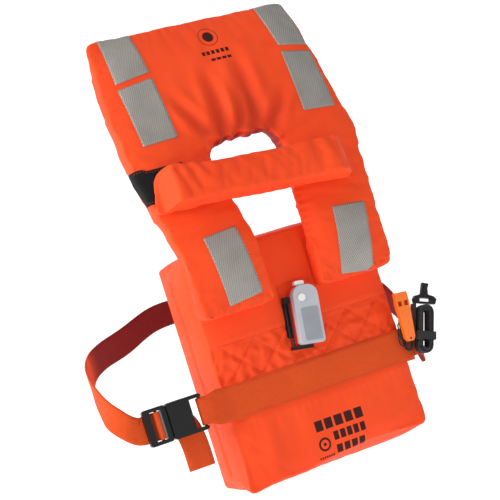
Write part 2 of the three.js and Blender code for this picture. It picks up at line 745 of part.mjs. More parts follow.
function makeWhistle() {
  const [half, x, t] = [whistle.length / 2, whistle.width / 2, whistle.thickness];
  const outline = new THREE.Shape();
  outline.moveTo(-4, -half);
  outline.lineTo(4, -half);
  outline.lineTo(8, -half + 5);
  outline.lineTo(x, half - 16);
  outline.lineTo(x - 1, half);
  outline.lineTo(-x + 1, half);
  outline.lineTo(-x, half - 16);
  outline.lineTo(-8, -half + 5);
  const eye = new THREE.CylinderGeometry(1.7, 1.7, t + 4, 14).translate(0, -t / 2, -half + 4);
  const cutters = [eye];
  for (const sign of [-1, 1]) {
    const [x0, x1] = [sign * 5 - 3.2, sign * 5 + 3.2];
    cutters.push(box(x0, x1, -t + whistle.wall, -whistle.wall, -half + 13, half - 12)); // chamber
    cutters.push(box(x0, x1, -t - 1, -t / 2, half - 20, half - 13)); // window
    cutters.push(box(x0, x1, -t / 2 - 1.1, -t / 2 + 1.1, half - 14, half + 1)); // wind way
  }
  node("whistle", cut(plate(outline, 0, t, 1), ...cutters), whistleOrange, whistleFrame);
}

// A long hank's outer shape: an outline with round ends, in the X-Z plane.
function hankOutline(run, outer) {
  const hank = new THREE.Shape();
  hank.moveTo(-outer / 2, run / 2);
  hank.lineTo(-outer / 2, -run / 2);
  hank.absarc(0, -run / 2, outer / 2, Math.PI, 2 * Math.PI);
  hank.lineTo(outer / 2, run / 2);
  hank.absarc(0, run / 2, outer / 2, 0, Math.PI);
  return hank;
}

function makeLanyard() {
  const d = lanyard.diameter;
  const outer = lanyard.loop + d;
  const hankFrame = new THREE.Group();
  const hankX = chestHalf + lanyard.beside;
  hankFrame.position.set(hankX, hankMiddle, lanyard.z);
  hankFrame.rotation.copy(whistleFrame.rotation);
  jacket.add(hankFrame);
  const hank = plate(hankOutline(lanyard.run, outer), hankDepth / 2, hankDepth);
  node("whistle_lanyard_hank", hank, blackCord, hankFrame);

  const space = PACKING;
  const [x0, y0] = [outer / 2 + space, hankDepth / 2 + space];
  const tieInner = box(-x0, x0, -y0, y0, -20, 20);
  const reach = space + tieWall;
  const [x1, y1] = [outer / 2 + reach, hankDepth / 2 + reach];
  node("whistle_lanyard_tie", cut(box(-x1, x1, -y1, y1, -7, 1), tieInner), blackPile, hankFrame);

  // The free stretch, from the hank's left side round to the whistle's eye.
  const left = hankX - outer / 2 - d / 2 - GAP;
  const line = [
    [left + 1.2, hankMiddle, -11],
    [left + 0.2, hankMiddle - 0.2, -17],
    [left - 2.4, hankMiddle - 1, -25],
    [left - 5.4, hankMiddle - 2.4, -32],
    [left - 6.4, hankMiddle - 3.8, -39],
    [left - 3, hankMiddle - 5.5, -44.5],
    [left + 3.4, whistleBack - 3, -45],
  ];
  node("whistle_lanyard", cord(line, d, 28), blackCord);
}

// ---------------------------------------------------------------- buddy line

const buddyFrame = new THREE.Group();
buddyFrame.position.set(chestHalf + buddy.beside, FRONT + buddy.ahead, buddy.z);
buddyFrame.rotation.set(0, buddy.tilt * DEG, 0);
jacket.add(buddyFrame);

function makeBuddyLine() {
  const d = buddy.diameter;
  const [outer, deep] = [buddy.loop + d, buddy.turns * d * 1.06];
  // The line is wound into a long hank.
  const hank = plate(hankOutline(buddy.run, outer), deep / 2, deep);
  node("buddy_line_hank", hank, blackCord, buddyFrame);

  // The elastic band round the hank.
  const bandInner = box(-outer / 2 - GAP, outer / 2 + GAP, -deep / 2 - GAP, deep / 2 + GAP, -20, 0);
  const bandOuter = box(-outer / 2 - 1.9, outer / 2 + 1.9, -deep / 2 - 1.9, deep / 2 + 1.9, -16, -4);
  node("buddy_line_band", cut(bandOuter, bandInner), blackPile, buddyFrame);

  // The hook above the hank: two shoulders with an eye between them, and a neck.
  const top = buddy.run / 2 + outer / 2;
  const yoke = new THREE.Shape();
  yoke.moveTo(-17, top + 1);
  yoke.lineTo(17, top + 1);
  yoke.lineTo(19, top + 9);
  yoke.lineTo(14, top + 13);
  yoke.lineTo(5, top + 15);
  yoke.lineTo(4, top + 24);
  yoke.lineTo(6, top + 31);
  yoke.lineTo(-4, top + 32);
  yoke.lineTo(-5, top + 24);
  yoke.lineTo(-6, top + 15);
  yoke.lineTo(-16, top + 12);
  yoke.lineTo(-19, top + 7);
  const eye = box(-9, 9, -8, 8, top + 4, top + 9);
  node("buddy_line_hook", cut(plate(yoke, 4, 8, 1), eye), blackPlastic, buddyFrame);

  // The strap that holds the line to the belt.
  const strapX = -outer / 2 - 3.2;
  const strap = box(strapX - 1.2, strapX + 0.6, -4, 11.4, -17, top + 1);
  node("buddy_line_strap", strap, blackPile, buddyFrame);
}

// ---------------------------------------------------------------- the jacket

makeChest();
makeLobe("left", -1);
makeLobe("right", 1);
makeCollar();
makeTapes();
makeVelcro();
makePillow();
makeBelt();
makeBuckle();
makeLight();
makeWhistle();
makeLanyard();
makeBuddyLine();

export default jacket;
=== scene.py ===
# A foam life jacket of the ship's kind. All lengths are in metres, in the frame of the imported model.
import math

import bmesh
import bpy
import numpy as np
from mathutils import Matrix, Vector, noise
from mathutils.bvhtree import BVHTree


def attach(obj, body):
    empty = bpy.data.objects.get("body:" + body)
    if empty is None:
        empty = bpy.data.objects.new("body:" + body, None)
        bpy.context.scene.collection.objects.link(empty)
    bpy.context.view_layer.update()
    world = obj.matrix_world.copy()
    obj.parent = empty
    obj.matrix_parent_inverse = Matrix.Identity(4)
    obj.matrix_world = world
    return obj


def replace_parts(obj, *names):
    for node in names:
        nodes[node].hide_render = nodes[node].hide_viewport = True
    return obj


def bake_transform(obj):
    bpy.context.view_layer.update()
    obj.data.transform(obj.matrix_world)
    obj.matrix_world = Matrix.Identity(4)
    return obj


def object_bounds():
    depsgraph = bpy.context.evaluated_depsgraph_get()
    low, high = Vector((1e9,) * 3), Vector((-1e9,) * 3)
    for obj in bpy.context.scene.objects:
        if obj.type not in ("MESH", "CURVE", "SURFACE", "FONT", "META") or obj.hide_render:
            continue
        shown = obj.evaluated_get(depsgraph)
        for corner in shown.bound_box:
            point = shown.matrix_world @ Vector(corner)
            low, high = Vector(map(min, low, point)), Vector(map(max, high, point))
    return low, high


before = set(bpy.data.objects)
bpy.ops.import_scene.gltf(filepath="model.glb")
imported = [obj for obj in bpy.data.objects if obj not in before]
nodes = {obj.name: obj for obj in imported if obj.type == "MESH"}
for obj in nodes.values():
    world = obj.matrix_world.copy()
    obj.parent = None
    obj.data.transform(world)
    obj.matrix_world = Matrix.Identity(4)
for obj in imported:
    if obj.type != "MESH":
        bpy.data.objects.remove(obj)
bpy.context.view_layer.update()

# ------------------------------------------------------------------ sizes, the same as the model's

CHEST_HALF, CHEST_DEPTH, CHEST_TOP = 0.142, 0.122, 0.168
FRONT = -CHEST_DEPTH
LOBE_THICK = 0.0375
LOBE_FRONT = FRONT - 0.0004 - LOBE_THICK
BEND, SHOULDER, COLLAR_TOP = 0.158, 0.298, 0.508
COLLAR_LEAN = math.radians(19)
PILLOW_LEAN = math.atan2(0.038, SHOULDER - BEND)
PILLOW_TILT = math.radians(4.6)
BELT_Z, BELT_THICK, BELT_WIDE = -0.043, 0.0022, 0.038
BAR_REACH = 0.0039  # from the middle of a buckle's bar to the middle of the band round it
BUCKLE = Vector((-0.219, FRONT - 0.005, BELT_Z + 0.003))

# ------------------------------------------------------------------ camera

bpy.context.scene.view_settings.view_transform = "Standard"
camera_data = bpy.data.cameras.new("camera")
camera_data.lens, camera_data.sensor_width = 100, 36
camera_data.shift_x, camera_data.shift_y = -0.0295, 0.0182
camera = bpy.data.objects.new("camera", camera_data)
bpy.context.scene.collection.objects.link(camera)
bpy.context.scene.camera = camera
azimuth, elevation, roll = (math.radians(a) for a in (-22.09, -2.01, 17.48))
ahead = Vector(
    (
        -math.sin(azimuth) * math.cos(elevation),
        math.cos(azimuth) * math.cos(elevation),
        -math.sin(elevation),
    )
)
level = Vector((math.cos(azimuth), math.sin(azimuth), 0))
above = level.cross(ahead)
across = math.cos(roll) * level - math.sin(roll) * above
upward = math.sin(roll) * level + math.cos(roll) * above
turn = Matrix((across, upward, -ahead)).transposed().to_4x4()
camera.matrix_world = Matrix.Translation((-0.7619, -1.9454, 0.066)) @ turn


# ------------------------------------------------------------------ shader sums


class Wire:
    """A material's socket, on which sums are written with Python's own operators."""

    def __init__(self, tree, socket):
        self.tree, self.socket = tree, socket

    def math(self, operation, *values):
        node = self.tree.nodes.new("ShaderNodeMath")
        node.operation = operation
        for socket, value in zip(node.inputs, values):
            plug(self.tree, socket, value)
        return Wire(self.tree, node.outputs[0])

    def __add__(self, other):
        return self.math("ADD", self, other)

    def __radd__(self, other):
        return self.math("ADD", other, self)

    def __sub__(self, other):
        return self.math("SUBTRACT", self, other)

    def __rsub__(self, other):
        return self.math("SUBTRACT", other, self)

    def __mul__(self, other):
        return self.math("MULTIPLY", self, other)

    def __rmul__(self, other):
        return self.math("MULTIPLY", other, self)

    def __truediv__(self, other):
        return self.math("DIVIDE", self, other)

    def __abs__(self):
        return self.math("ABSOLUTE", self)

    def sin(self):
        return self.math("SINE", self)

    def root(self):
        return self.math("SQRT", self)

    def above(self, edge, soft=0.0003):
        """0 below edge and 1 above it, with a soft step."""
        step = self.math("DIVIDE", self - edge, soft)
        return self.math("MINIMUM", self.math("MAXIMUM", step, 0.0), 1.0)

    def least(self, other):
        return self.math("MINIMUM", self, other)


def plug(tree, socket, value):
    if isinstance(value, Wire):
        tree.links.new(value.socket, socket)
    else:
        socket.default_value = value


class Finish:
    """A material built up from nodes round one Principled shader."""

    def __init__(self, name, slot, **shader):
        self.material = bpy.data.materials.new(name)
        self.material.use_nodes = True
        self.slot = slot
        self.tree = self.material.node_tree
        self.shader = self.tree.nodes["Principled BSDF"]
        self.set(**shader)

    def set(self, **values):
        for name, value in values.items():
            plug(self.tree, self.shader.inputs[name.replace("_", " ")], value)

    def add(self, kind, settings=None, sockets=None, out=0):
        node = self.tree.nodes.new("ShaderNode" + kind)
        for name, value in (settings or {}).items():
            setattr(node, name, value)
        for name, value in (sockets or {}).items():
            plug(self.tree, node.inputs[name], value)
        return Wire(self.tree, node.outputs[out])

    def place(self):
        return self.add("TexCoord", out="Object")

    def xyz(self, vector):
        node = self.tree.nodes.new("ShaderNodeSeparateXYZ")
        plug(self.tree, node.inputs[0], vector)
        return [Wire(self.tree, socket) for socket in node.outputs]

    def noise(self, vector, scale, detail=2.0, roughness=0.5):
        sockets = {"Vector": vector, "Scale": scale, "Detail": detail, "Roughness": roughness}
        return self.add("TexNoise", sockets=sockets)

    def blend(self, factor, a, b):
        """Colour a where the factor is 0 and b where it is 1."""
        node = self.tree.nodes.new("ShaderNodeMix")
        node.data_type = "RGBA"
        plug(self.tree, node.inputs["Factor"], factor)
        for socket, value in ((node.inputs[6], a), (node.inputs[7], b)):
            plug(self.tree, socket, value)
        return Wire(self.tree, node.outputs[2])

    def bump(self, height, distance, strength=1.0, under=None):
        sockets = {"Height": height, "Distance": distance, "Strength": strength}
        if under is not None:
            sockets["Normal"] = under
        return self.add("Bump", sockets=sockets)


def rgb(r, g, b):
    """A colour given as it looks on a screen, as the shader's linear values."""
    linear = (((c + 0.055) / 1.055) ** 2.4 if c > 0.04045 else c / 12.92 for c in (r, g, b))
    return (*linear, 1.0)


def scaled(colour, by, plus=0.0):
    return (*(min(1.0, c * by + plus) for c in colour[:3]), 1.0)


# ------------------------------------------------------------------ finishes


def woven_nylon(name, face, shade, prints=None):
    """Plain-woven coated nylon: a fine weave, small creases and a slow change of tone. A point attribute
    marks the parts turned away from the light, where a deep red shade is painted into the colour, and a faint
    glow is painted in as well."""
    cloth = Finish(name, "orange_cloth", Specular_IOR_Level=0.24, Sheen_Weight=0.04, Sheen_Roughness=0.4)
    place = cloth.place()
    x, y, z = cloth.xyz(place)
    thread = 2 * math.pi / 0.0011
    weave = ((x + y) * thread).sin() * ((z + y * 0.35) * thread).sin()
    tone = cloth.noise(place, 7.0, 3.0, 0.55)
    fibre = cloth.noise(place, 700.0, 2.0)
    mixed = cloth.blend((tone - 0.3) * 1.1 + (fibre - 0.5) * 0.12, face, shade)
    # painted shade: a deep red is blended in where the point attribute marks parts turned away from the light
    painted_shade = cloth.add("Attribute", {"attribute_name": "painted_shade"}, out=2)
    mixed = cloth.blend(painted_shade, mixed, rgb(0.56, 0.03, 0.05))
    if prints:
        mixed = cloth.blend(prints(x, y, z) * (0.92 + fibre * 0.08), mixed, rgb(0.04, 0.03, 0.03))
    creases = cloth.noise(place, 26.0, 5.0, 0.6)
    bent = cloth.bump(creases, 0.0022, 0.35)
    cloth.set(Base_Color=mixed, Normal=cloth.bump(weave, 0.00012, 0.5, bent))
    cloth.set(Roughness=0.56 + tone * 0.14)
    # painted glow: the cloth emits a little of its own colour, so its shaded parts stay red
    cloth.set(Emission_Color=mixed, Emission_Strength=0.05)
    return cloth


def bars(x, z, left, right, low, high, count, gap=0.003):
    """A row of plain upright blocks."""
    pitch = (right - left + gap) / count
    inside = (x - left).least(right - x).least((z - low).least(high - z)).above(0.0)
    part = (x - left).math("MODULO", x - left, pitch)
    return inside * (pitch - gap - part).above(0.0)


def chest_print(x, y, z):
    """Rows of plain blocks beside a plain ring, low on the front."""
    dx, dz = x + 0.0195, z + 0.1400
    far = (dx * dx + dz * dz).root()
    rings = (0.0100 - far).above(0.0) * (far - 0.0066).above(0.0) + (0.0026 - far).above(0.0)
    rows = bars(x, z, -0.0275, 0.0495, -0.1205, -0.1050, 5, 0.0034)
    rows = rows + bars(x, z, -0.0025, 0.0480, -0.1395, -0.1265, 5, 0.0026)
    rows = rows + bars(x, z, -0.0020, 0.0440, -0.1580, -0.1460, 4, 0.0030)
    rows = rows + bars(x, z, -0.0320, -0.0070, -0.1600, -0.1565, 7, 0.0010)
    return (rows + rings) * (-0.09 - y).above(0.0)


def collar_print(x, y, z):
    """A plain disc in a thin ring with two bars under it."""
    dx, dz = x - 0.0215, z - 0.4760
    far = (dx * dx + dz * dz).root()
    disc = (0.0150 - far).above(0.0) * (far - 0.0138).above(0.0) + (0.0085 - far).above(0.0)
    rows = bars(x, z, 0.0000, 0.0430, 0.4470, 0.4535, 6, 0.0022)
    rows = rows + bars(x, z, 0.0100, 0.0430, 0.4360, 0.4405, 4, 0.0018)
    return (disc + rows) * (-0.035 - y).above(0.0)


def ribbed_webbing(name, face, shade, slot="orange_webbing", rib=0.0017):
    """Flat webbing: chevron ribs across it. Its map is in metres, across and along."""
    web = Finish(name, slot, Roughness=0.78, Specular_IOR_Level=0.2, Sheen_Weight=0.05, Sheen_Roughness=0.5)
    u, v, _ = web.xyz(web.add("TexCoord", out="UV"))
    turn = 2 * math.pi / rib
    chevron = ((v + abs((u * 180.0).sin()) * 0.0022) * turn).sin()
    yarn = (u * (2 * math.pi / 0.0012)).sin()
    weave = chevron * 0.7 + yarn * 0.3
    tone = web.noise(web.place(), 14.0, 3.0)
    fleck = web.noise(web.place(), 420.0, 2.0)
    mixed = web.blend(weave * 0.22 + 0.25 + (tone - 0.5) * 0.5 + (fleck - 0.5) * 0.4, face, shade)
    # painted shade: a deep red is blended in where the point attribute marks the band's faces turned from the
    # light
    painted_shade = web.add("Attribute", {"attribute_name": "painted_shade"}, out=2)
    mixed = web.blend(painted_shade, mixed, rgb(0.50, 0.03, 0.035))
    web.set(Base_Color=mixed, Normal=web.bump(weave, 0.0004, 0.75))
    # painted glow: the band emits a little of its own colour, so its shaded parts stay red
    web.set(Emission_Color=mixed, Emission_Strength=0.04)
    return web


def prism_tape():
    """Retro-reflective tape: rows of small sealed cells in a silver film."""
    tape = Finish("prism_tape", "reflective_tape", Metallic=0.25, Coat_Weight=0.25, Coat_Roughness=0.25)
    uv = tape.add("TexCoord", out="UV")
    u, v, _ = tape.xyz(uv)
    cell = 2 * math.pi / 0.0064
    a = ((u + v * 0.58) * cell).sin()
    b = ((u - v * 0.58) * cell).sin()
    wall = (abs(a).least(abs(b))).above(0.0, 0.42)
    film = tape.noise(tape.place(), 30.0, 4.0, 0.6)
    grain = tape.noise(tape.place(), 900.0, 2.0)
    silver = tape.blend((film - 0.4) * 1.4, rgb(0.74, 0.72, 0.69), rgb(0.62, 0.60, 0.58))
    mixed = tape.blend(wall * 0.85 + (grain - 0.5) * 0.2, rgb(0.30, 0.30, 0.29), silver)
    tape.set(Base_Color=mixed, Roughness=0.36 + film * 0.2)
    creased = tape.bump(film, 0.001, 0.25)
    tape.set(Normal=tape.bump(wall, 0.0003, 0.5, creased))
    return tape


def moulded(name, slot, colour, roughness, grain=0.00006, **more):
    """Moulded plastic: a fine grain and faint flow marks."""
    plastic = Finish(name, slot, **more)
    place = plastic.place()
    fine = plastic.noise(place, 900.0, 2.0)
    flow = plastic.noise(place, 40.0, 3.0)
    plastic.set(Base_Color=plastic.blend((flow - 0.45) * 0.9, colour, scaled(colour, 0.72)))
    plastic.set(Roughness=roughness + (flow - 0.5) * 0.18)
    plastic.set(Normal=plastic.bump(fine, grain, 0.5))
    return plastic


def pile(name, slot, colour):
    """Matt pile, as on a touch fastener or an elastic band."""
    fuzz = Finish(name, slot, Roughness=0.96, Specular_IOR_Level=0.15, Sheen_Weight=0.06, Sheen_Roughness=0.6)
    place = fuzz.place()
    loops = fuzz.add("TexVoronoi", sockets={"Vector": place, "Scale": 620.0})
    tufts = fuzz.noise(place, 260.0, 4.0, 0.7)
    lighter = scaled(colour, 2.4, 0.006)
    fuzz.set(Base_Color=fuzz.blend(tufts * 0.8, colour, lighter))
    fuzz.set(Normal=fuzz.bump(loops + tufts, 0.0005, 0.8))
    return fuzz


def braid(name, slot, colour):
    """Braided cord: crossing strands and a dull finish."""
    cord = Finish(name, slot, Roughness=0.8, Sheen_Weight=0.2)
    place = cord.place()
    x, y, z = cord.xyz(place)
    strand = 2 * math.pi / 0.0021
    plait = ((x + z) * strand).sin() * ((x - z + y) * strand).sin()
    fleck = cord.noise(place, 500.0, 2.0)
    lighter = scaled(colour, 2.6, 0.008)
    cord.set(Base_Color=cord.blend(plait * 0.3 + fleck * 0.5, colour, lighter))
    cord.set(Normal=cord.bump(plait, 0.0004, 0.8))
    return cord


FACE_DYE, SHADE_DYE = rgb(0.97, 0.31, 0.11), rgb(0.90, 0.22, 0.08)
NYLON = woven_nylon("orange_nylon", FACE_DYE, SHADE_DYE)
CHEST_NYLON = woven_nylon("orange_nylon_chest", FACE_DYE, SHADE_DYE, chest_print)
COLLAR_NYLON = woven_nylon("orange_nylon_collar", FACE_DYE, SHADE_DYE, collar_print)
WEBBING = ribbed_webbing("orange_webbing", rgb(0.91, 0.34, 0.12), rgb(0.76, 0.21, 0.07))
TAPE = prism_tape()
BLACK = moulded("black_acetal", "black_plastic", rgb(0.035, 0.036, 0.042), 0.36, Specular_IOR_Level=0.35)
GREY = moulded("frosted_grey", "grey_plastic", rgb(0.73, 0.75, 0.78), 0.33, Coat_Weight=0.15)
RED = moulded("red_case", "red_plastic", rgb(0.88, 0.17, 0.08), 0.38)
WHITE = moulded("white_lens", "white_plastic", rgb(0.94, 0.95, 0.93), 0.25)
ORANGE = moulded("whistle_orange", "whistle_orange", rgb(1.0, 0.47, 0.09), 0.3, Coat_Weight=0.2)
STEEL = moulded("cell_can", "cell_can", rgb(0.62, 0.62, 0.64), 0.3, Metallic=0.9)
BOARD = moulded("circuit_board", "circuit_board", rgb(0.16, 0.42, 0.26), 0.5)
PILE = pile("black_pile", "hook_and_loop", rgb(0.035, 0.036, 0.04))
CORD = braid("black_cord", "black_cord", rgb(0.04, 0.04, 0.046))
THREAD = moulded("orange_thread", "orange_cloth", rgb(0.86, 0.20, 0.10), 0.7)
PALE_THREAD = moulded("pale_thread", "reflective_tape", rgb(0.70, 0.69, 0.66), 0.7)


def printed_label():
    """A grey film with a dark border and plain bars in rows."""
    film = Finish("label_film", "label_stock", Roughness=0.45)
    u, v, _ = film.xyz(film.add("TexCoord", out="UV"))
    inside = (0.0108 - abs(u)).least(0.0215 - abs(v)).above(0.0)
    field = (0.0098 - abs(u)).least(0.0205 - abs(v)).above(0.0)
    rows = (u * (2 * math.pi / 0.0026)).sin().above(0.25, 0.3)
    broken = film.noise(film.place(), 620.0, 1.0).above(0.47, 0.03)
    ink = field * rows * broken * 0.75 + (inside - field) * 0.6
    tone = film.noise(film.place(), 60.0)
    paper = film.blend(tone, rgb(0.62, 0.64, 0.66), rgb(0.54, 0.56, 0.58))
    film.set(Base_Color=film.blend(ink, paper, rgb(0.16, 0.17, 0.18)))
    film.set(Normal=film.bump(tone, 0.0001, 0.3))
    return film


LABEL = printed_label()

# ------------------------------------------------------------------ making pieces


def piece(name, bm, finish, body="jacket", smooth=True):
    """A bmesh as an object of the model, with its finish, on its body."""
    mesh = bpy.data.meshes.new(name)
    bm.to_mesh(mesh)
    bm.free()
    return dress(bpy.data.objects.new(name, mesh), finish, body, smooth)


def dress(obj, finish, body="jacket", smooth=True):
    if obj.name not in bpy.context.scene.collection.objects:
        bpy.context.scene.collection.objects.link(obj)
    obj.data.materials.clear()
    obj.data.materials.append(finish.material)
    if smooth and obj.type == "MESH":
        obj.data.shade_smooth()
    if body:
        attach(obj, body)
    return obj


def settle(obj):
    """Applies the object's modifiers."""
    bpy.context.view_layer.update()
    shaped = obj.evaluated_get(bpy.context.evaluated_depsgraph_get())
    mesh = bpy.data.meshes.new_from_object(shaped)
    obj.modifiers.clear()
    obj.data = mesh
    return obj


def modify(obj, kind, **settings):
    modifier = obj.modifiers.new(kind.lower(), kind)
    for name, value in settings.items():
        setattr(modifier, name, value)
    return modifier


def triples(mesh, data, key):
    """A vector value of every point of a mesh, as rows."""
    flat = np.empty(len(mesh.vertices) * 3)
    data.foreach_get(key, flat)
    return flat.reshape(-1, 3)


def coords(mesh):
    return triples(mesh, mesh.vertices, "co")


def put_coords(mesh, places):
    mesh.vertices.foreach_set("co", np.asarray(places, float).ravel())
    mesh.update()


def normals(mesh):
    return triples(mesh, mesh.vertex_normals, "vector")


def rough(points, scale, seed=0.0, stretch=(1, 1, 1)):
    """Smooth noise from -1 to 1 at each point."""
    offset = Vector((seed, 7.3, 1.7))
    return np.array([noise.noise(Vector(p) * scale + offset) for p in points * np.array(stretch)])


# Stores, as a point attribute, how much painted shade the cloth finishes blend in at each point.
def paint_shade_weights(obj, values):
    layer = obj.data.attributes.new("painted_shade", "FLOAT", "POINT")
    layer.data.foreach_set("value", np.asarray(values, np.float32))


def line_distance(points, a, b):
    """Distance in the X-Z plane from a straight stretch, and the share of the way along it."""
    spot, a, b = points[:, [0, 2]], np.array(a), np.array(b)
    along = np.clip(((spot - a) @ (b - a)) / ((b - a) @ (b - a)), 0, 1)
    return np.linalg.norm(spot - a - along[:, None] * (b - a), axis=1), along


def outline_distance(points, outline):
    """Each point's distance in the X-Z plane from a closed outline."""
    sides = zip(outline, outline[1:] + outline[:1])
    return np.min([line_distance(points, a, b)[0] for a, b in sides], axis=0)


def bell(distance, width):
    return np.exp(-((distance / width) ** 2))


def smooth_step(t):
    t = np.clip(t, 0, 1)
    return t * t * (3 - 2 * t)


def stuffed(name, outline, depth, voxel, cap, pressure=4.0, slack=0.0):
    """A cover over foam: an outline with depth, blown up as cloth that is held along its seams.
    Gives the object, and its points as they were before it swelled."""
    bm = bmesh.new()
    face = bm.faces.new([bm.verts.new((x, 0, z)) for x, z in outline])
    grown = bmesh.ops.extrude_face_region(bm, geom=[face])["geom"]
    far = [v for v in grown if isinstance(v, bmesh.types.BMVert)]
    bmesh.ops.translate(bm, verts=far, vec=(0, -depth, 0))
    bmesh.ops.recalc_face_normals(bm, faces=bm.faces)
    mesh = bpy.data.meshes.new(name)
    bm.to_mesh(mesh)
    bm.free()
    obj = bpy.data.objects.new(name, mesh)
    bpy.context.scene.collection.objects.link(obj)
    modify(obj, "REMESH", mode="VOXEL", voxel_size=voxel)
    settle(obj)
    rest = coords(obj.data)
    seam = seam_distance(rest, outline, depth)
    places = blown_up(obj, rest, seam, voxel, cap, pressure, slack)
    attribute = obj.data.attributes.new("unswollen", "FLOAT_VECTOR", "POINT")
    attribute.data.foreach_set("vector", rest.ravel())
    put_coords(obj.data, places)
    modify(obj, "SUBSURF", levels=1, render_levels=1)
    settle(obj)
    flat = triples(obj.data, obj.data.attributes["unswollen"].data, "vector")
    obj.data.attributes.remove(obj.data.attributes["unswollen"])
    return obj, flat


def seam_distance(points, outline, depth):
    edge = outline_distance(points, outline)
    face = np.minimum(np.abs(points[:, 1]), np.abs(points[:, 1] + depth))
    return np.hypot(edge, face)


def blown_up(obj, rest, seam, voxel, cap, pressure, slack):
    held = obj.vertex_groups.new(name="seams")
    held.add([int(i) for i in np.nonzero(seam < voxel * 0.75)[0]], 1.0, "REPLACE")
    cloth = obj.modifiers.new("cloth", "CLOTH")
    cloth.settings.quality = 5
    cloth.settings.mass = 0.25
    cloth.settings.tension_stiffness = cloth.settings.compression_stiffness = 12
    cloth.settings.shear_stiffness = 4
    cloth.settings.bending_stiffness = 0.35
    cloth.settings.vertex_group_mass = "seams"
    cloth.settings.use_pressure = True
    cloth.settings.uniform_pressure_force = pressure
    cloth.settings.shrink_min = -slack
    cloth.settings.effector_weights.gravity = 0
    cloth.collision_settings.use_self_collision = False
    cloth.point_cache.frame_start, cloth.point_cache.frame_end = 1, 20
    scene = bpy.context.scene
    for step in range(1, 21):
        scene.frame_set(step)
    shaped = obj.evaluated_get(bpy.context.evaluated_depsgraph_get()).data
    places = coords(shaped)
    obj.modifiers.clear()
    obj.vertex_groups.clear()
    scene.frame_set(1)
    moved = places - rest
    far = np.linalg.norm(moved, axis=1, keepdims=True)
    return rest + moved * (cap * np.tanh(far / cap) / np.maximum(far, 1e-9))


def rounded(corners, radius, steps=5):
    """A closed outline with each of its corners rounded. A corner may carry a radius of its own."""
    outline = []
    for i, corner in enumerate(corners):
        own = corner[2] if len(corner) > 2 else radius
        here = Vector(corner[:2])
        before = Vector(corners[i - 1][:2]) - here
        after = Vector(corners[(i + 1) % len(corners)][:2]) - here
        reach = min(own, before.length / 2, after.length / 2)
        a, b = here + before.normalized() * reach, here + after.normalized() * reach
        for k in range(steps + 1):
            t = k / steps
            spot = a * (1 - t) ** 2 + here * 2 * t * (1 - t) + b * t * t
            if not outline or (spot - Vector(outline[-1])).length > 2e-5:
                outline.append((spot.x, spot.y))
    return outline


class Surface:
    """A finished piece's skin, on which other pieces are laid."""

    def __init__(self, *objs):
        bm = bmesh.new()
        for obj in objs:
            bm.from_mesh(obj.data)
        self.tree = BVHTree.FromBMesh(bm)
        bm.free()

    def hit(self, start, direction, lift=0.0):
        spot, normal, _, _ = self.tree.ray_cast(Vector(start), Vector(direction))
        if spot is None:
            spot, normal, _, _ = self.tree.find_nearest(Vector(start))
        return spot + normal * lift, normal

    def front(self, x, z, lift=0.0):
        return self.hit((x, -0.6, z), (0, 1, 0), lift)


def way_along(line):
    """How far along a line each of its points lies."""
    far = [0.0]
    for a, b in zip(line, line[1:]):
        far.append(far[-1] + (Vector(b) - Vector(a)).length)
    return far


def sheet_of(name, rows, thickness, finish, body="jacket"):
    """A thin piece from rows of points, with a map in metres across (u) and along (v)."""
    bm = bmesh.new()
    layer = bm.loops.layers.uv.new("map")
    grid = [[bm.verts.new(p) for p in row] for row in rows]
    wide = way_along(rows[0])
    long = way_along([row[len(row) // 2] for row in rows])
    for j in range(len(grid) - 1):
        for i in range(len(grid[0]) - 1):
            face = bm.faces.new((grid[j][i], grid[j][i + 1], grid[j + 1][i + 1], grid[j + 1][i]))
            at = ((i, j), (i + 1, j), (i + 1, j + 1), (i, j + 1))
            for loop, (u, v) in zip(face.loops, at):
                loop[layer].uv = (wide[u] - wide[-1] / 2, long[v] - long[-1] / 2)
    obj = piece(name, bm, finish, None)
    modify(obj, "SOLIDIFY", thickness=thickness, offset=0.0, use_quality_normals=True)
    settle(obj)
    obj.data.shade_smooth()
    if body:
        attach(obj, body)
    return obj


def length_of(line):
    return way_along(line)[-1]


def curve_through(points, per_span=8):
    """Points along a smooth line through the given ones."""
    points = [Vector(p) for p in points]
    ends = [points[0] * 2 - points[1]] + points + [points[-1] * 2 - points[-2]]
    line = []
    for i in range(1, len(ends) - 2):
        p0, p1, p2, p3 = ends[i - 1 : i + 3]
        d1, d2, d3 = (max(math.sqrt((b - a).length), 1e-6) for a, b in ((p0, p1), (p1, p2), (p2, p3)))
        m1 = ((p1 - p0) / d1 - (p2 - p0) / (d1 + d2) + (p2 - p1) / d2) * d2
        m2 = ((p2 - p1) / d2 - (p3 - p1) / (d2 + d3) + (p3 - p2) / d3) * d2
        for k in range(per_span):
            t = k / per_span
            line.append(
                p1 * (2 * t**3 - 3 * t * t + 1)
                + m1 * (t**3 - 2 * t * t + t)
                + p2 * (3 * t * t - 2 * t**3)
                + m2 * (t**3 - t * t)
            )
    return line + [points[-1]]


def evenly(line, gap):
    """The same line with points about a gap apart."""
    far = way_along(line)
    count = max(2, round(far[-1] / gap) + 1)
    spots = np.linspace(0, far[-1], count)
    columns = [np.interp(spots, far, axis) for axis in np.array([tuple(p) for p in line]).T]
    return [Vector(spot) for spot in zip(*columns)]


def webbing(name, line, width, body="jacket", up=(0, 0, 1), across=8, shape=None):
    """A flat band along a line. Its edges stand along up, and shape may move each point."""
    rows = []
    for i, spot in enumerate(line):
        ahead = (line[min(i + 1, len(line) - 1)] - line[max(i - 1, 0)]).normalized()
        upright = Vector(up(i / (len(line) - 1)) if callable(up) else up)
        edge = (upright - ahead * upright.dot(ahead)).normalized()
        wide = width(spot) if callable(width) else width
        row = [spot + edge * wide * (k / across - 0.5) for k in range(across + 1)]
        rows.append([shape(p, i / (len(line) - 1)) for p in row] if shape else row)
    return sheet_of(name, rows, BELT_THICK, WEBBING, body)


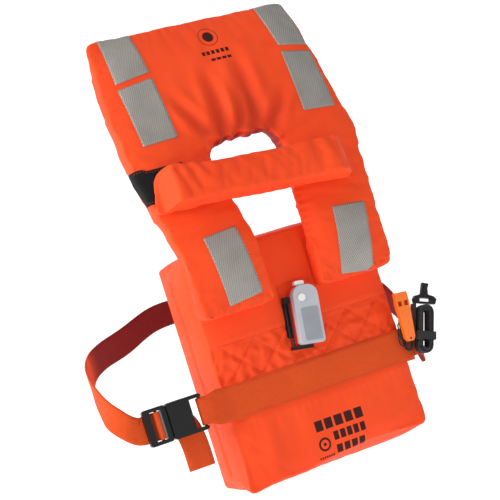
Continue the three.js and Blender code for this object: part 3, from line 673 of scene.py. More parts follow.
def stitches(name, runs, finish, body="jacket", long=0.0028, gap=0.0016, thick=0.00045):
    """Rows of single stitches. Each run is a list of (point, normal) on the cloth."""
    bm = bmesh.new()
    for run in runs:
        spots = [Vector(p) for p, _ in run]
        far = way_along(spots)
        at = gap / 2
        while at + long < far[-1]:
            i = int(np.searchsorted(far, at + long / 2)) - 1
            i = min(max(i, 0), len(spots) - 2)
            share = (at + long / 2 - far[i]) / max(far[i + 1] - far[i], 1e-9)
            spot = spots[i].lerp(spots[i + 1], share)
            ahead = (spots[i + 1] - spots[i]).normalized()
            normal = run[i][1].lerp(run[i + 1][1], share).normalized()
            side = ahead.cross(normal).normalized()
            turned = Matrix((ahead, side, normal)).transposed().to_4x4()
            size = Matrix.Diagonal((long / 2, thick, thick * 0.8, 1))
            bmesh.ops.create_uvsphere(
                bm, u_segments=6, v_segments=4, radius=1, matrix=Matrix.Translation(spot) @ turned @ size
            )
            at += long + gap
    return piece(name, bm, finish, body)


def tube(name, line, radius, finish, body="jacket"):
    """A cord with closed ends along a line. Gives the piece."""
    curve = bpy.data.curves.new(name, "CURVE")
    curve.dimensions = "3D"
    curve.bevel_depth, curve.bevel_resolution, curve.use_fill_caps = radius, 1, True
    spline = curve.splines.new("POLY")
    spline.points.add(len(line) - 1)
    for point, spot in zip(spline.points, line):
        point.co = (*spot, 1)
    obj = bpy.data.objects.new(name, curve)
    bpy.context.scene.collection.objects.link(obj)
    curve.materials.append(finish.material)
    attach(obj, body)
    return obj


def hank(middle, tilt, halves, run, depth, turns):
    """A cord wound up in long turns: an outer winding going back, then an inner one coming forward."""
    outer, inner = halves
    line = []

    def turn_of(half, back, step, count, first):
        for t in range(count):
            places = [(-half, z) for z in np.linspace(-run / 2, run / 2, 5)[:-1]]
            for a in np.linspace(0, math.pi, 9)[:-1]:
                places.append((-half * math.cos(a), run / 2 + half * math.sin(a)))
            places += [(half, z) for z in np.linspace(run / 2, -run / 2, 5)[:-1]]
            reach, centre = half, 0
            if t == count - 1 and first:
                reach, centre = (outer + inner) / 2, (outer - inner) / 2
            for a in np.linspace(0, math.pi, 9)[:-1]:
                places.append((centre + reach * math.cos(a), -run / 2 - reach * math.sin(a)))
            for k, (x, z) in enumerate(places):
                line.append((x, back + step * (t + k / len(places)), z))

    step = depth / turns
    turn_of(outer, -depth / 2, step, turns, True)
    turn_of(inner, depth / 2 - step * 0.35, -step * 0.93, turns, False)
    swing = Matrix.Rotation(tilt, 4, "Y")
    return [Vector(middle) + swing @ Vector(p) for p in line]


# ------------------------------------------------------------------ collar and lobes, one cover

ALONG = np.linspace(-0.02, 0.50, 1041)


def eased(s, middle, half=0.03):
    return smooth_step((s - middle + half) / (2 * half))


LOBE_BOTTOM = 0.076
S_BEND = BEND - LOBE_BOTTOM
S_SHOULDER = S_BEND + (SHOULDER - BEND) / math.cos(PILLOW_LEAN)
S_TOP = S_SHOULDER + (COLLAR_TOP - SHOULDER) / math.cos(COLLAR_LEAN)
ANGLES = eased(ALONG, S_BEND) * PILLOW_LEAN + eased(ALONG, S_SHOULDER) * (COLLAR_LEAN - PILLOW_LEAN)
STEP = ALONG[1] - ALONG[0]
PROFILE_Y = LOBE_FRONT + np.concatenate([[0], np.cumsum(np.sin(ANGLES[:-1]) * STEP)])
PROFILE_Z = LOBE_BOTTOM + ALONG[0] + np.concatenate([[0], np.cumsum(np.cos(ANGLES[:-1]) * STEP)])


def s_at(z):
    return float(np.interp(z, PROFILE_Z, ALONG))


def bent(points):
    """Flat cover points (x, depth behind the front, way along the profile) put in their place."""
    s, depth = points[:, 2], points[:, 1] + LOBE_THICK
    lean = np.interp(s, ALONG, ANGLES) * 0.45
    y = np.interp(s, ALONG, PROFILE_Y) + depth * np.cos(lean)
    z = np.interp(s, ALONG, PROFILE_Z) + depth * np.sin(lean) * (s > S_SHOULDER)
    return np.stack([points[:, 0], y, z], axis=1)


def neck_opening():
    """The neck opening's edge, from the right lobe over the top to the left one."""
    points = [(0.044, s_at(0.168), 0.02), (0.051, s_at(0.220), 0.02)]
    middle = s_at(0.268)
    for a in np.linspace(0, math.pi, 17):
        c, t = math.cos(a), math.sin(a)
        across = math.copysign(abs(c) ** 0.6, c) * (0.061 if c > 0 else 0.054)
        points.append((across, middle + 0.054 * t**0.6, 0.001))
    return points + [(-0.043, s_at(0.220), 0.02), (-0.036, s_at(0.168), 0.02)]


def horseshoe():
    top = s_at(COLLAR_TOP) - 0.001
    right = [
        (0.037, 0.0, 0.008),
        (0.153, 0.0, 0.010),
        (0.157, S_BEND, 0.02),
        (0.169, s_at(0.240), 0.02),
        (0.180, s_at(0.288), 0.02),
        (0.177, s_at(0.325), 0.03),
        (0.172, s_at(0.420), 0.05),
        (0.166, top, 0.005),
    ]
    left = [
        (-0.157, top, 0.005),
        (-0.168, s_at(0.415), 0.05),
        (-0.169, S_SHOULDER, 0.03),
        (-0.149, S_BEND, 0.02),
        (-0.147, 0.0, 0.007),
        (-0.037, 0.0, 0.008),
    ]
    return rounded(right + left + list(reversed(neck_opening())), 0.004, 4)


SHOE = horseshoe()
shoe, flat = stuffed("collar_and_lobes", SHOE, LOBE_THICK - 0.003, 0.0048, 0.0085, 4.0, 0.01)
places = coords(shoe.data)
front_side = np.clip(-flat[:, 1] / LOBE_THICK * 2 - 0.6, 0, 1)
edge = outline_distance(flat, SHOE)
x, s = flat[:, 0], flat[:, 2]
# gathers along the seams: short and fine at the lobes' ends and the neck, longer elsewhere
along_edge = rough(flat, 95.0, 2.0)
fine_edge = rough(flat, 190.0, 5.0)
neck = np.hypot(x, s - s_at(0.266))
near_neck = bell(np.maximum(neck - 0.052, 0), 0.016) * (s > s_at(0.245))
places[:, 1] += front_side * bell(edge, 0.011) * (along_edge * 0.0016 + fine_edge * 0.0010)
lobe_ends = bell(s, 0.018)
places[:, 1] += front_side * lobe_ends * fine_edge * 0.0016
wave = np.sin(np.arctan2(x, s - s_at(0.266)) * 17 + rough(flat, 30.0, 9.0) * 2.5)
places[:, 1] += near_neck * front_side * wave * 0.0022
places[:, 2] += near_neck * wave * 0.0012
# soft folds that run up from the neck over the collar, with painted shade along their hollows
fold_shade = np.zeros(len(flat))
for x0, z0, x1, z1, tall, wide in (
    (-0.018, 0.325, -0.006, 0.425, 0.0056, 0.010),
    (-0.045, 0.335, -0.072, 0.400, 0.0040, 0.009),
    (0.012, 0.330, 0.026, 0.395, 0.0050, 0.008),
    (0.036, 0.325, 0.048, 0.440, 0.0058, 0.011),
    (0.055, 0.318, 0.098, 0.372, 0.0040, 0.009),
    (-0.070, 0.262, -0.110, 0.262, 0.0020, 0.010),
):
    far, share = line_distance(flat, (x0, s_at(z0)), (x1, s_at(z1)))
    fade = np.sin(np.pi * np.clip(share, 0.04, 0.96)) ** 0.7
    places[:, 1] += front_side * fade * tall * (bell(far, wide) - 0.8 * bell(far - wide * 1.7, wide))
    fold_shade += front_side * bell(far, wide * 1.3) * (1 - share) * tall * 95
# slow waves of the cloth between the foam and the seams
slow = rough(flat, 19.0, 4.0) * 0.0016 + rough(flat, 42.0, 8.0) * 0.0007
places[:, 1] += slow * np.clip(edge / 0.03, 0.25, 1) * front_side
outer_side = np.clip((np.abs(x) - 0.12) / 0.02, 0, 1) * bell(edge, 0.012)
places[:, 0] += outer_side * np.sign(x) * rough(flat, 34.0, 3.0, (1, 0.5, 1)) * 0.0026
top_side = bell(s - S_TOP, 0.02)
places[:, 2] += top_side * rough(flat, 26.0, 6.0, (1, 0.5, 0)) * 0.0024
# flat backs where the lobes lie on the chest
flat_back = (flat[:, 1] > -0.012) & (s < S_BEND + 0.03)
places[flat_back, 1] = np.minimum(places[flat_back, 1], -0.0002)
# the neck's edge and the right lobe's inner edge close to one seam, and the top corners are drawn thin
INNER = [p for p in SHOE if abs(p[0]) < 0.062 and p[1] < s_at(0.33) and p[1] > 0.012]
inner = np.min([np.hypot(x - a, s - b) for a, b in INNER], axis=0)
half = LOBE_THICK / 2
low_neck = np.clip((s_at(0.262) - s) / 0.02, 0, 1)
pinched = (0.55 * (x > -0.02) + 0.15) * bell(inner, 0.010) * low_neck
pinched += 0.5 * bell(np.hypot(x - 0.166, s - S_TOP), 0.030)
pinched += 0.22 * bell(s - S_TOP, 0.016)
places[:, 1] = -half + (places[:, 1] + half) * (1 - np.clip(pinched, 0, 0.75))
thin = 0.78 * bell(np.hypot((x + 0.160) / 0.9, s - S_TOP), 0.052)
thin = np.maximum(thin, 0.35 * bell(x + 0.150, 0.03) * bell(s - 0.085, 0.07))
places[:, 1] = -LOBE_THICK + (places[:, 1] + LOBE_THICK) * (1 - thin)
hangs = bell(inner, 0.012) * np.clip((flat[:, 1] + 0.032) / 0.016, 0, 1) * (s > s_at(0.285))
places[:, 2] -= hangs * np.clip((0.046 - x) / 0.02, 0, 1) * 0.0085
# painted shade on the neck opening's inner wall, which faces down and away from the light; the fold shade is
# added to it
wall = bell(inner, 0.0075) * (s > s_at(0.262)) * np.clip((flat[:, 1] + 0.034) / 0.008, 0, 1)
put_coords(shoe.data, bent(places))
paint_shade_weights(shoe, np.clip(wall * (0.9 + 0.35 * fine_edge) + np.clip(fold_shade, 0, 0.42), 0, 1))
dress(shoe, COLLAR_NYLON, None)
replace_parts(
    shoe,
    "left_lobe_cover",
    "left_lobe_foam",
    "right_lobe_cover",
    "right_lobe_foam",
    "collar_cover",
    "collar_foam",
)
shoe_skin = Surface(shoe)
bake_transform(shoe)

# ------------------------------------------------------------------ chest block

CHEST = rounded(
    [
        (0.1495, -CHEST_TOP + 0.001, 0.014),
        (0.1450, CHEST_TOP + 0.001, 0.006),
        (-0.1415, CHEST_TOP + 0.001, 0.004),
        (-0.1410, -CHEST_TOP, 0.008),
    ],
    0.01,
)
chest, flat = stuffed("chest_block", CHEST, CHEST_DEPTH - 0.006, 0.0050, 0.0070, 4.0, 0.012)
places = coords(chest.data)
x, depth, z = flat[:, 0], flat[:, 1], flat[:, 2]
front_side = np.clip(-depth / CHEST_DEPTH * 3 - 1.7, 0, 1)
edge = outline_distance(flat, CHEST)
on_front = front_side * np.clip(edge / 0.006, 0, 1)
places[:, 1] -= 0.002
belt_low, belt_high = BELT_Z - 0.0245, BELT_Z + 0.0245
# gathers under the belt, soft upright folds below them
under = np.clip((belt_low - z) / 0.004, 0, 1) * np.exp(-np.clip(belt_low - z, 0, 1) / 0.012)
pleat = np.sin(x / 0.0125 * 2 * math.pi + rough(flat * [1, 0, 0], 22.0, 1.0) * 5.0)
uneven = 0.5 + np.abs(rough(flat * [1, 0, 0], 16.0, 2.0))
places[:, 1] -= on_front * under * (pleat * 0.0008 * uneven + 0.0008)
low = np.clip((belt_low - z) / 0.03, 0, 1)
fold = rough(flat * [1, 0, 0.12], 21.0, 11.0) * 0.0062 + rough(flat * [1, 0, 0.2], 44.0, 12.0) * 0.0026
strong = 0.45 + 0.75 * np.clip(-x / CHEST_HALF, 0, 1)
places[:, 1] += on_front * low * fold * strong
# the quilted panel between the belt and the seam across the front
SEAM_Z = 0.036
panel = np.clip((SEAM_Z - z) / 0.006, 0, 1) * np.clip((z - belt_high) / 0.004, 0, 1)
creased = np.abs(rough(flat, 46.0, 21.0)) * 0.0060 + np.abs(rough(flat, 84.0, 22.0)) * 0.0028
places[:, 1] += on_front * panel * creased
for a in np.arange(-0.15, 0.151, 0.05):
    for lean in (-1, 1):
        far, share = line_distance(flat, (a - 0.026 * lean, belt_high), (a + 0.026 * lean, SEAM_Z))
        places[:, 1] += on_front * panel * bell(far, 0.0032) * 0.0016
places[:, 1] += on_front * bell(z - SEAM_Z, 0.0030) * (0.0018 + rough(flat, 110.0, 23.0) * 0.0008)
above_belt = np.clip((z - belt_high) / 0.003, 0, 1) * np.exp(-np.clip(z - belt_high, 0, 1) / 0.014)
pleat = np.sin(x / 0.016 * 2 * math.pi + rough(flat * [1, 0, 0], 18.0, 5.0) * 5)
places[:, 1] -= on_front * above_belt * pleat * 0.0016
places[:, 1] += on_front * np.clip((z - SEAM_Z) / 0.01, 0, 1) * rough(flat, 26.0, 31.0) * 0.0014
# the gussets: soft waves, and the welted slit down the left one
on_side = np.clip((np.abs(x) - CHEST_HALF + 0.012) / 0.006, 0, 1)
mid_depth = np.clip(1 - np.abs(depth + CHEST_DEPTH / 2) / 0.058, 0, 1)
places[:, 0] += on_side * mid_depth * np.sign(x) * rough(flat, 17.0, 14.0, (1, 0.7, 1)) * 0.0028
slit = bell(depth + 0.062, 0.0032) * np.clip((0.147 - np.abs(z)) / 0.006, 0, 1)
places[:, 0] -= on_side * np.sign(x) * slit * 0.0022
seamed = bell(edge, 0.006) * np.clip((-depth - 0.095) / 0.015, 0, 1)
places[:, 0] += on_side * seamed * np.sign(x) * rough(flat, 90.0, 15.0) * 0.0014
# the bottom: a seam along the front edge that dips between its folds, with the corner drawn out
bottom = bell(z + CHEST_TOP, 0.03) * front_side
places[:, 2] += bottom * (rough(flat * [1, 0, 0], 20.0, 16.0) * 0.0040 + 0.0115 * bell(x - 0.06, 0.085))
corner = bell(np.hypot(x + CHEST_HALF, z + CHEST_TOP), 0.028) * front_side
places[:, 0] -= corner * 0.0030
places[:, 2] -= corner * 0.0060
# pressed back under the belt, the light and the lobes
pressed = np.clip(1.25 - np.abs(z - BELT_Z) / 0.0245, 0, 1) ** 0.5
limit = np.where(pressed > 0, -0.1212 - 0.004 * (1 - pressed), -1)
under_lobes = (z > LOBE_BOTTOM + 0.004) & (np.abs(x) > 0.040)
limit = np.where(under_lobes, np.maximum(limit, -0.1216), limit)
lit = (np.abs(x - 0.007) < 0.026) & (np.abs(z - 0.043) < 0.050)
limit = np.where(lit, np.maximum(limit, -0.1214), limit)
places[:, 1] = np.maximum(places[:, 1], limit)
places[:, 1] = np.minimum(places[:, 1], 0.004)
put_coords(chest.data, places)
dress(chest, CHEST_NYLON)
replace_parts(chest, "chest_cover", "chest_foam_1", "chest_foam_2", "chest_foam_3")
chest_skin = Surface(chest)

# ------------------------------------------------------------------ neck pillow

PILLOW = rounded(
    [
        (0.147, -0.0290),
        (0.147, 0.0305, 0.006),
        (0.070, 0.0250, 0.03),
        (-0.060, 0.0225, 0.02),
        (-0.094, 0.0280, 0.02),
        (-0.136, 0.0290),
        (-0.150, -0.0295),
    ],
    0.006,
)
pillow, flat = stuffed("neck_pillow", PILLOW, 0.036, 0.0042, 0.0075, 4.0, 0.015)
places = coords(pillow.data)
x, depth, z = flat[:, 0], flat[:, 1], flat[:, 2]
edge = outline_distance(flat, PILLOW)
front_side = np.clip(-depth / 0.036 * 2 - 0.5, 0, 1)
# short puckers at both ends
for x0, top, foot, tall, wide in (
    (-0.112, 0.018, -0.018, 0.0022, 0.0050),
    (-0.096, 0.026, -0.012, 0.0030, 0.0060),
    (-0.080, 0.027, 0.004, 0.0016, 0.006),
    (0.120, 0.028, -0.02, 0.0022, 0.006),
    (0.092, 0.03, 0.0, 0.0018, 0.008),
):
    far, share = line_distance(flat, (x0, top), (x0 + 0.010, foot))
    places[:, 1] += front_side * tall * bell(far, wide)
    places[:, 2] -= bell(far, wide) * np.clip(z / 0.028, 0, 1) * tall * 0.35
places[:, 1] += front_side * bell(edge, 0.008) * rough(flat, 70.0, 41.0) * 0.0016
places[:, 1] += front_side * rough(flat, 24.0, 42.0) * 0.0016
places[:, 1] -= 0.004
places[:, 2] += bell(z + 0.028, 0.01) * rough(flat, 40.0, 43.0, (1, 0, 0)) * 0.0012
# the left end is a flat tab, the right end is stitched through just inside its hem
tab = smooth_step((-0.118 - x) / 0.022)
places[:, 1] *= 1 - 0.80 * tab
places[:, 1] += front_side * 0.0042 * bell(x - 0.133, 0.0032)
places[:, 1] *= 1 - 0.45 * np.clip((x - 0.133) / 0.010, 0, 1)
places[:, 1] = np.minimum(places[:, 1], 0.0002)
PILLOW_SEAT = Matrix.Translation((-0.013, -0.1390, 0.249)) @ (
    Matrix.Rotation(-PILLOW_LEAN, 4, "X") @ Matrix.Rotation(PILLOW_TILT, 4, "Y")
)
put_coords(pillow.data, places)
pillow.data.transform(PILLOW_SEAT)
dress(pillow, NYLON, "neck_pillow")
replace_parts(pillow, "neck_pillow_cover", "neck_pillow_foam")

# ------------------------------------------------------------------ tapes and patches on the covers


def laid_tape(name, node, corners, body):
    """A tape, given by its corners in x and z from its lower left, laid on the cover from in front."""
    a, b, c, d = (Vector(p) for p in corners)
    rows = []
    for j in range(33):
        low, high = a.lerp(d, j / 32), b.lerp(c, j / 32)
        rows.append([shoe_skin.front(*low.lerp(high, i / 16), 0.0006)[0] for i in range(17)])
    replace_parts(sheet_of(name, eased_rows(rows), TAPE_THICK, TAPE, body), node)
    return rows


def eased_rows(rows, times=2):
    """The rows with small unevenness taken out, as stiff film bridges fine wrinkles."""
    grid = np.array([[tuple(p) for p in row] for row in rows])
    for _ in range(times):
        inner = grid.copy()
        inner[1:-1] = (grid[:-2] + grid[1:-1] * 2 + grid[2:]) / 4
        inner[:, 1:-1] = (inner[:, :-2] + inner[:, 1:-1] * 2 + inner[:, 2:]) / 4
        grid = np.where(inner[..., 1:2] < grid[..., 1:2], inner, grid * 0.4 + inner * 0.6)
    return [[Vector(p) for p in row] for row in grid]


TAPE_THICK = 0.0006
TAPES = {
    "lobe_tape_left": (
        "left_lobe_tape",
        ((-0.1060, 0.0850), (-0.0535, 0.0915), (-0.0615, 0.1905), (-0.1130, 0.1855)),
        "jacket",
    ),
    "lobe_tape_right": (
        "right_lobe_tape",
        ((0.0690, 0.0825), (0.1195, 0.0750), (0.1385, 0.1735), (0.0870, 0.1785)),
        "jacket",
    ),
    "collar_tape_lower_left": (
        "left_collar_tape",
        ((-0.1410, 0.3340), (-0.0880, 0.3358), (-0.0875, 0.4325), (-0.1425, 0.4256)),
        "collar",
    ),
    "collar_tape_lower_right": (
        "right_collar_tape",
        ((0.1110, 0.3276), (0.1630, 0.3240), (0.1665, 0.4180), (0.1195, 0.4265)),
        "collar",
    ),
}
tape_rims = []
for node, (name, corners, body) in TAPES.items():
    tape_rims.append((body, laid_tape(name, node, corners, body)))
for side, foot, head in (
    ("left", ((-0.1422, 0.4345), (-0.0872, 0.4425)), (-0.1400, -0.0895)),
    ("right", ((0.1205, 0.4370), (0.1665, 0.4290)), (0.1150, 0.1635)),
):
    columns = []
    hub_z = COLLAR_TOP - 0.022
    for i in range(17):
        share = i / 16
        foot_x, foot_z = (a + (b - a) * share for a, b in zip(*foot))
        head_x = head[0] + (head[1] - head[0]) * share
        ahead, behind = (shoe_skin.hit((head_x, far, hub_z), (0, -far, 0))[0].y for far in (-0.6, 0.6))
        hub_y = (ahead + behind) / 2
        column = []
        for t in np.linspace(0, 1, 16):
            x, z = foot_x + (head_x - foot_x) * t, foot_z + (hub_z - foot_z) * t
            column.append(shoe_skin.front(x, z, TAPE_THICK)[0])
        for a in np.linspace(0.12, math.pi - 0.12, 24):
            away = Vector((0, -math.cos(a), math.sin(a)))
            column.append(shoe_skin.hit(Vector((head_x, hub_y, hub_z)) + away * 0.08, -away, TAPE_THICK)[0])
        columns.append(column)
    far = [length_of(c) for c in columns]
    rows = list(zip(*[evenly(c, f / 44) for c, f in zip(columns, far)]))
    tape = sheet_of(f"{side}_collar_tape_upper", rows, TAPE_THICK, TAPE, "collar")
    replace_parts(tape, f"collar_tape_upper_{side}")
    tape_rims.append(("collar", rows))

# the loop patch runs from under the pillow's end out over the lobe's edge on to its side
loop_rows = []
for z in np.linspace(0.2465, 0.2985, 18):
    edge_x = float(np.interp(s_at(z), [S_BEND, S_SHOULDER], [-0.151, -0.170]))
    hub = Vector((edge_x + 0.017, float(np.interp(s_at(z), ALONG, PROFILE_Y)) + 0.017, z + 0.004))
    row = [shoe_skin.front(x, z, 0.0009)[0] for x in np.linspace(-0.098, hub.x, 10)]
    for a in np.linspace(0.12, math.radians(112), 16):
        away = Vector((-math.sin(a), -math.cos(a), 0))
        row.append(shoe_skin.hit(hub + away * 0.06, -away, 0.0009)[0])
    loop_rows.append(evenly(row, length_of(row) / 26))
loop_rows = eased_rows(loop_rows, 1)
loop_patch = sheet_of("loop_patch", loop_rows, 0.0012, PILE)
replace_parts(loop_patch, "velcro_loop_patch")

# ------------------------------------------------------------------ webbing


def in_buckle(x, y, z=0.0):
    return BUCKLE + Vector((x, y, z))


def round_bar(x, start, stop, steps):
    angles = np.radians(np.linspace(start, stop, steps))
    return [in_buckle(x + BAR_REACH * math.cos(a), BAR_REACH * math.sin(a)) for a in angles]


FACE = FRONT - 0.0015
front_line = evenly(
    curve_through(
        [in_buckle(0.0695, BAR_REACH), in_buckle(0.0515, BAR_REACH)]
        + round_bar(0.0395, 90, 270, 7)
        + [
            (-0.162, -0.1309, -0.041),
            (-0.136, -0.1250, -0.043),
            (-0.114, FACE, -0.043),
            (-0.05, FACE, -0.043),
            (0, FACE, -0.043),
            (0.06, FACE, -0.043),
            (0.118, FACE, -0.043),
            (0.148, -0.1219, -0.043),
            (0.160, -0.1181, -0.044),
        ],
        10,
    ),
    0.0024,
)


def front_width(spot):
    """The band is wider where it lies open on the chest, and plain in its back layer at the bar."""
    if spot.y > BUCKLE.y + 0.0036 and spot.x < -0.15:
        return BELT_WIDE
    return BELT_WIDE + 0.011 * float(smooth_step((spot.x + 0.176) / 0.022))


belt_front = webbing("front_belt", front_line, front_width)
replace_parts(belt_front, "belt_front")

loop_line = evenly(
    curve_through(
        [
            (0.1608, -0.11785, -0.04407),
            (0.1728, -0.11405, -0.04507),
            (0.185, -0.097, -0.055),
            (0.197, -0.065, -0.060),
            (0.215, -0.015, -0.028),
            (0.228, 0.035, 0.017),
            (0.219, 0.090, 0.053),
            (0.179, 0.145, 0.081),
            (0.110, 0.184, 0.094),
            (0.030, 0.197, 0.100),
            (-0.060, 0.178, 0.107),
            (-0.130, 0.130, 0.104),
            (-0.194, 0.080, 0.087),
            (-0.247, 0.030, 0.074),
            (-0.281, -0.015, 0.060),
            (-0.299, -0.055, 0.042),
            (-0.304, -0.088, 0.017),
            (-0.299, -0.110, -0.009),
            (-0.286, -0.119, -0.028),
            in_buckle(-0.050, 0.0072),
            in_buckle(-0.038, 0.0066),
            in_buckle(-0.0346, 0.0064),
            in_buckle(-0.031, 0.0049),
        ]
        + round_bar(-0.0245, 165, 380, 9),
        8,
    ),
    0.0026,
)


def slack_edge(spot, share):
    """The loop's edges roll and wave a little where nothing holds it."""
    free = min(1.0, 6 * share, 6 * (1 - share)) * (1.0 if share < 0.86 else 0.4)
    wave = noise.noise(Vector((share * 9.0, spot.z * 14, 3.0))) * 0.0035
    roll = noise.noise(Vector((share * 13, 5, spot.z * 30))) * 0.0014
    return spot + Vector((roll * free, 0, wave * free))


def loop_width(spot):
    """The band looks a little narrower where it rolls over just before the buckle."""
    return 0.0385 - 0.0055 * bell(spot.x + 0.290, 0.016) * (spot.y < -0.07)


belt_loop = webbing("belt_loop", loop_line, loop_width, None, shape=slack_edge)
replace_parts(belt_loop, "belt_back_right", "belt_back_left")
# painted shade: the loop's faces turned toward the chest are marked for the deep red that stands in for their
# shade
spots, turned = coords(belt_loop.data), normals(belt_loop.data)
toward = (np.array([-0.02, 0.02, 0]) - spots) * [1, 1, 0]
toward /= np.linalg.norm(toward, axis=1, keepdims=True)
inner_face_shade = np.clip(np.sum(toward * turned, axis=1) * 3, 0, 1)
paint_shade_weights(belt_loop, inner_face_shade * np.clip((spots[:, 0] + 0.285) / 0.02, 0, 1) ** 0.5)
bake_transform(belt_loop)

tail_line = evenly(
    curve_through(
        [
            (-0.236, -0.1194, -0.040),
            (-0.217, -0.1194, -0.041),
            (-0.206, -0.1184, -0.053),
            (-0.201, -0.1164, -0.069),
            (-0.199, -0.1154, -0.090),
            (-0.199, -0.1154, -0.114),
        ],
        10,
    ),
    0.0024,
)


def tail_edge(share):
    ahead = tail_line[min(len(tail_line) - 1, round(share * (len(tail_line) - 1)) + 1)]
    here = tail_line[max(0, round(share * (len(tail_line) - 1)) - 1)]
    return Vector((0, 1, 0)).cross(ahead - here)


belt_tail = webbing("tail_of_belt", tail_line, BELT_WIDE, "buckle_male_half", tail_edge, across=6)
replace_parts(belt_tail, "belt_tail")

# ------------------------------------------------------------------ seams sewn on the covers


def seam_run(skin, spots, lift=0.0004, toward=(0, 1, 0)):
    run = []
    for spot in spots:
        start = Vector(spot) - Vector(toward) * 0.5
        run.append(skin.hit(start, toward, lift))
    return run


def straight(a, b, gap=0.004):
    a, b = Vector(a), Vector(b)
    count = max(2, round((b - a).length / gap))
    return [a.lerp(b, k / count) for k in range(count + 1)]


jacket_runs, web_runs = [], []
jacket_runs.append(seam_run(chest_skin, straight((-0.130, 0, SEAM_Z), (0.130, 0, SEAM_Z))))
for a in np.arange(-0.10, 0.151, 0.05):
    for lean in (-1, 1):
        ends = ((a - 0.026 * lean, 0, BELT_Z + 0.026), (a + 0.026 * lean, 0, SEAM_Z - 0.002))
        if abs(a - 0.007) > 0.03 and abs(ends[0][0]) < 0.132 and abs(ends[1][0]) < 0.132:
            jacket_runs.append(seam_run(chest_skin, straight(*ends)))
for y in (-0.0575, -0.0645):
    run = [chest_skin.hit((-0.5, y, z), (1, 0, 0), 0.0003) for z in np.linspace(-0.146, 0.146, 60)]
    jacket_runs.append(run)


def rim_of(rows, inset=2):
    """The stitch line just inside a sewn patch's edge."""
    grid = [[Vector(p) for p in row] for row in rows]
    low, high, left, right = inset, len(grid) - 1 - inset, inset - 1, len(grid[0]) - inset
    path = [grid[low][i] for i in range(left, right + 1)]
    path += [grid[j][right] for j in range(low, high + 1)]
    path += [grid[high][i] for i in range(right, left - 1, -1)]
    return path + [grid[j][left] for j in range(high, low - 1, -1)]


TOWARDS_EYE = Vector((0, -1, 0))
tape_runs = {"jacket": [], "collar": []}
for body, rows in tape_rims:
    path = rim_of(rows, 1)
    tape_runs[body].append([(p + TOWARDS_EYE * 0.0005, TOWARDS_EYE) for p in path])
for body, runs in tape_runs.items():
    stitches(f"tape_stitches_{body}", runs, PALE_THREAD, body, thick=0.00030)
patch_run = [(p + TOWARDS_EYE * 0.0010, TOWARDS_EYE) for p in rim_of(loop_rows, 1)]
stitches("loop_patch_stitches", [patch_run], THREAD, "jacket", thick=0.0003)
stitches("chest_stitches", jacket_runs, THREAD, "jacket")

belt_skin = Surface(belt_front)
for z in (BELT_Z - 0.0218, BELT_Z + 0.0218):
    web_runs.append(seam_run(belt_skin, straight((-0.124, 0, z), (0.132, 0, z)), 0.0003))
for z in (-0.014, 0.014):
    web_runs.append(seam_run(belt_skin, straight((-0.171, 0, -0.041 + z), (-0.156, 0, -0.041 + z)), 0.0003))
web_runs.append(seam_run(belt_skin, straight((-0.163, 0, -0.057), (-0.163, 0, -0.026)), 0.0003))
stitches("belt_stitches", web_runs, THREAD, "jacket")

# ------------------------------------------------------------------ whistle lanyard and buddy line

LANYARD, BUDDY = 0.0022, 0.004
hank_y = -0.12781  # the middle of the lanyard's hank
lanyard_free = curve_through(
    [
        (0.1463, -0.13492, -0.045),
        (0.1399, hank_y - 0.0055, -0.0445),
        (0.1365, hank_y - 0.0038, -0.039),
        (0.1375, hank_y - 0.0024, -0.032),
        (0.1405, hank_y - 0.001, -0.025),
        (0.1431, hank_y - 0.0002, -0.017),
        (0.1441, hank_y, -0.011),
    ],
    4,
)
lanyard_hank = hank((0.1525, hank_y, -0.028), math.radians(5), (0.007, 0.0046), 0.036, 0.0044, 2)
lanyard_line = lanyard_free[:-1] + lanyard_hank[8:]
lanyard = tube("lanyard_cord", lanyard_line, LANYARD / 2, CORD)
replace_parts(lanyard, "whistle_lanyard", "whistle_lanyard_hank")

buddy_line = hank((0.181, -0.131, -0.030), math.radians(20), (0.010, 0.006), 0.048, 0.0202, 5)
buddy = tube("buddy_line", buddy_line, BUDDY / 2, CORD)
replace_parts(buddy, "buddy_line_hank")

# ------------------------------------------------------------------ finishes of the hard parts

FINISHES = {
    BLACK: (
        "buckle_male",
        "buckle_female",
        "buckle_prong_upper",
        "buckle_prong_lower",
        "buddy_line_hook",
        "light_bracket",
        "light_sensor",
        "light_foot",
    ),
    CORD: (
        "buddy_line_band",
        "buddy_line_strap",
        "whistle_lanyard_tie",
        "light_lead_outer",
        "light_lead_inner",
    ),
    GREY: ("light_front_case",),
    RED: ("light_back_case",),
    WHITE: ("light_button", "light_lens"),
    ORANGE: ("whistle",),
    STEEL: ("light_cell_1", "light_cell_2"),
    BOARD: ("light_board",),
    PILE: ("velcro_hook_patch",),
    NYLON: ("pillow_seam_flange",),
    LABEL: ("light_label",),
}
for finish, names in FINISHES.items():
    for name in names:
        mesh = nodes[name].data
        mesh.materials.clear()
        mesh.materials.append(finish.material)

# ------------------------------------------------------------------ light, floor, backdrop


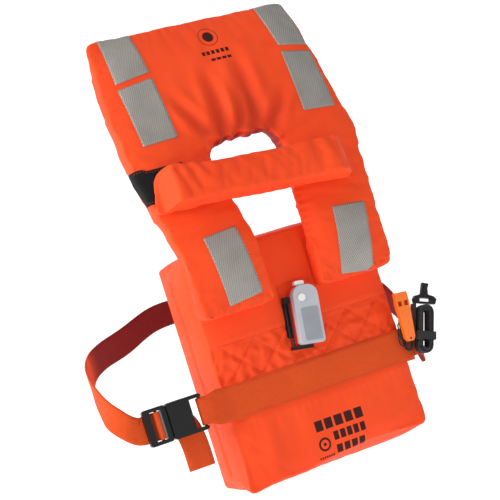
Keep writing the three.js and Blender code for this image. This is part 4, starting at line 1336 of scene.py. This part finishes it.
def soft_lamp(name, spot, aim, size, power, colour=(1, 1, 1)):
    data = bpy.data.lights.new(name, "AREA")
    data.shape, data.size, data.size_y, data.energy, data.color = "RECTANGLE", size[0], size[1], power, colour
    lamp = bpy.data.objects.new(name, data)
    bpy.context.scene.collection.objects.link(lamp)
    lamp.location = spot
    lamp.rotation_euler = (Vector(aim) - Vector(spot)).to_track_quat("-Z", "Y").to_euler()


soft_lamp("key", (-2.7, -0.45, 1.05), (-0.05, -0.05, 0.1), (1.2, 1.2), 62, (1.0, 0.96, 0.90))
soft_lamp("fill", (0.5, -2.8, 1.2), (0, -0.1, 0.1), (2.2, 2.2), 4)
soft_lamp("top", (-0.5, -1.1, 2.6), (0, 0, 0.35), (1.0, 1.0), 14)

world = bpy.data.worlds.new("studio")
bpy.context.scene.world = world
world.use_nodes = True
world.node_tree.nodes["Background"].inputs["Color"].default_value = (1.0, 1.0, 1.0, 1)
world.node_tree.nodes["Background"].inputs["Strength"].default_value = 0.34

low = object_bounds()[0][2] - 0.002
bm = bmesh.new()
SWEEP = ((-6.0, 0), (3.0, 0), (3.6, 0.08), (4.05, 0.35), (4.35, 0.8), (4.5, 1.5), (4.5, 6.0))
line = [bm.verts.new((-9.0, y, low + z)) for y, z in SWEEP]
edges = [bm.edges.new(pair) for pair in zip(line, line[1:])]
grown = bmesh.ops.extrude_edge_only(bm, edges=edges)["geom"]
bmesh.ops.translate(bm, verts=[v for v in grown if isinstance(v, bmesh.types.BMVert)], vec=(18.0, 0, 0))
floor_mesh = bpy.data.meshes.new("floor")
bm.to_mesh(floor_mesh)
bm.free()
floor_mesh.shade_smooth()
floor = bpy.data.objects.new("floor", floor_mesh)
bpy.context.scene.collection.objects.link(floor)
pale = bpy.data.materials.new("pale_floor")
pale.use_nodes = True
for socket, value in (
    ("Base Color", (0.35, 0.35, 0.35, 1)),
    ("Roughness", 0.95),
    ("Emission Color", (1, 1, 1, 1)),
    ("Emission Strength", 0.95),
):
    pale.node_tree.nodes["Principled BSDF"].inputs[socket].default_value = value
floor.data.materials.append(pale)
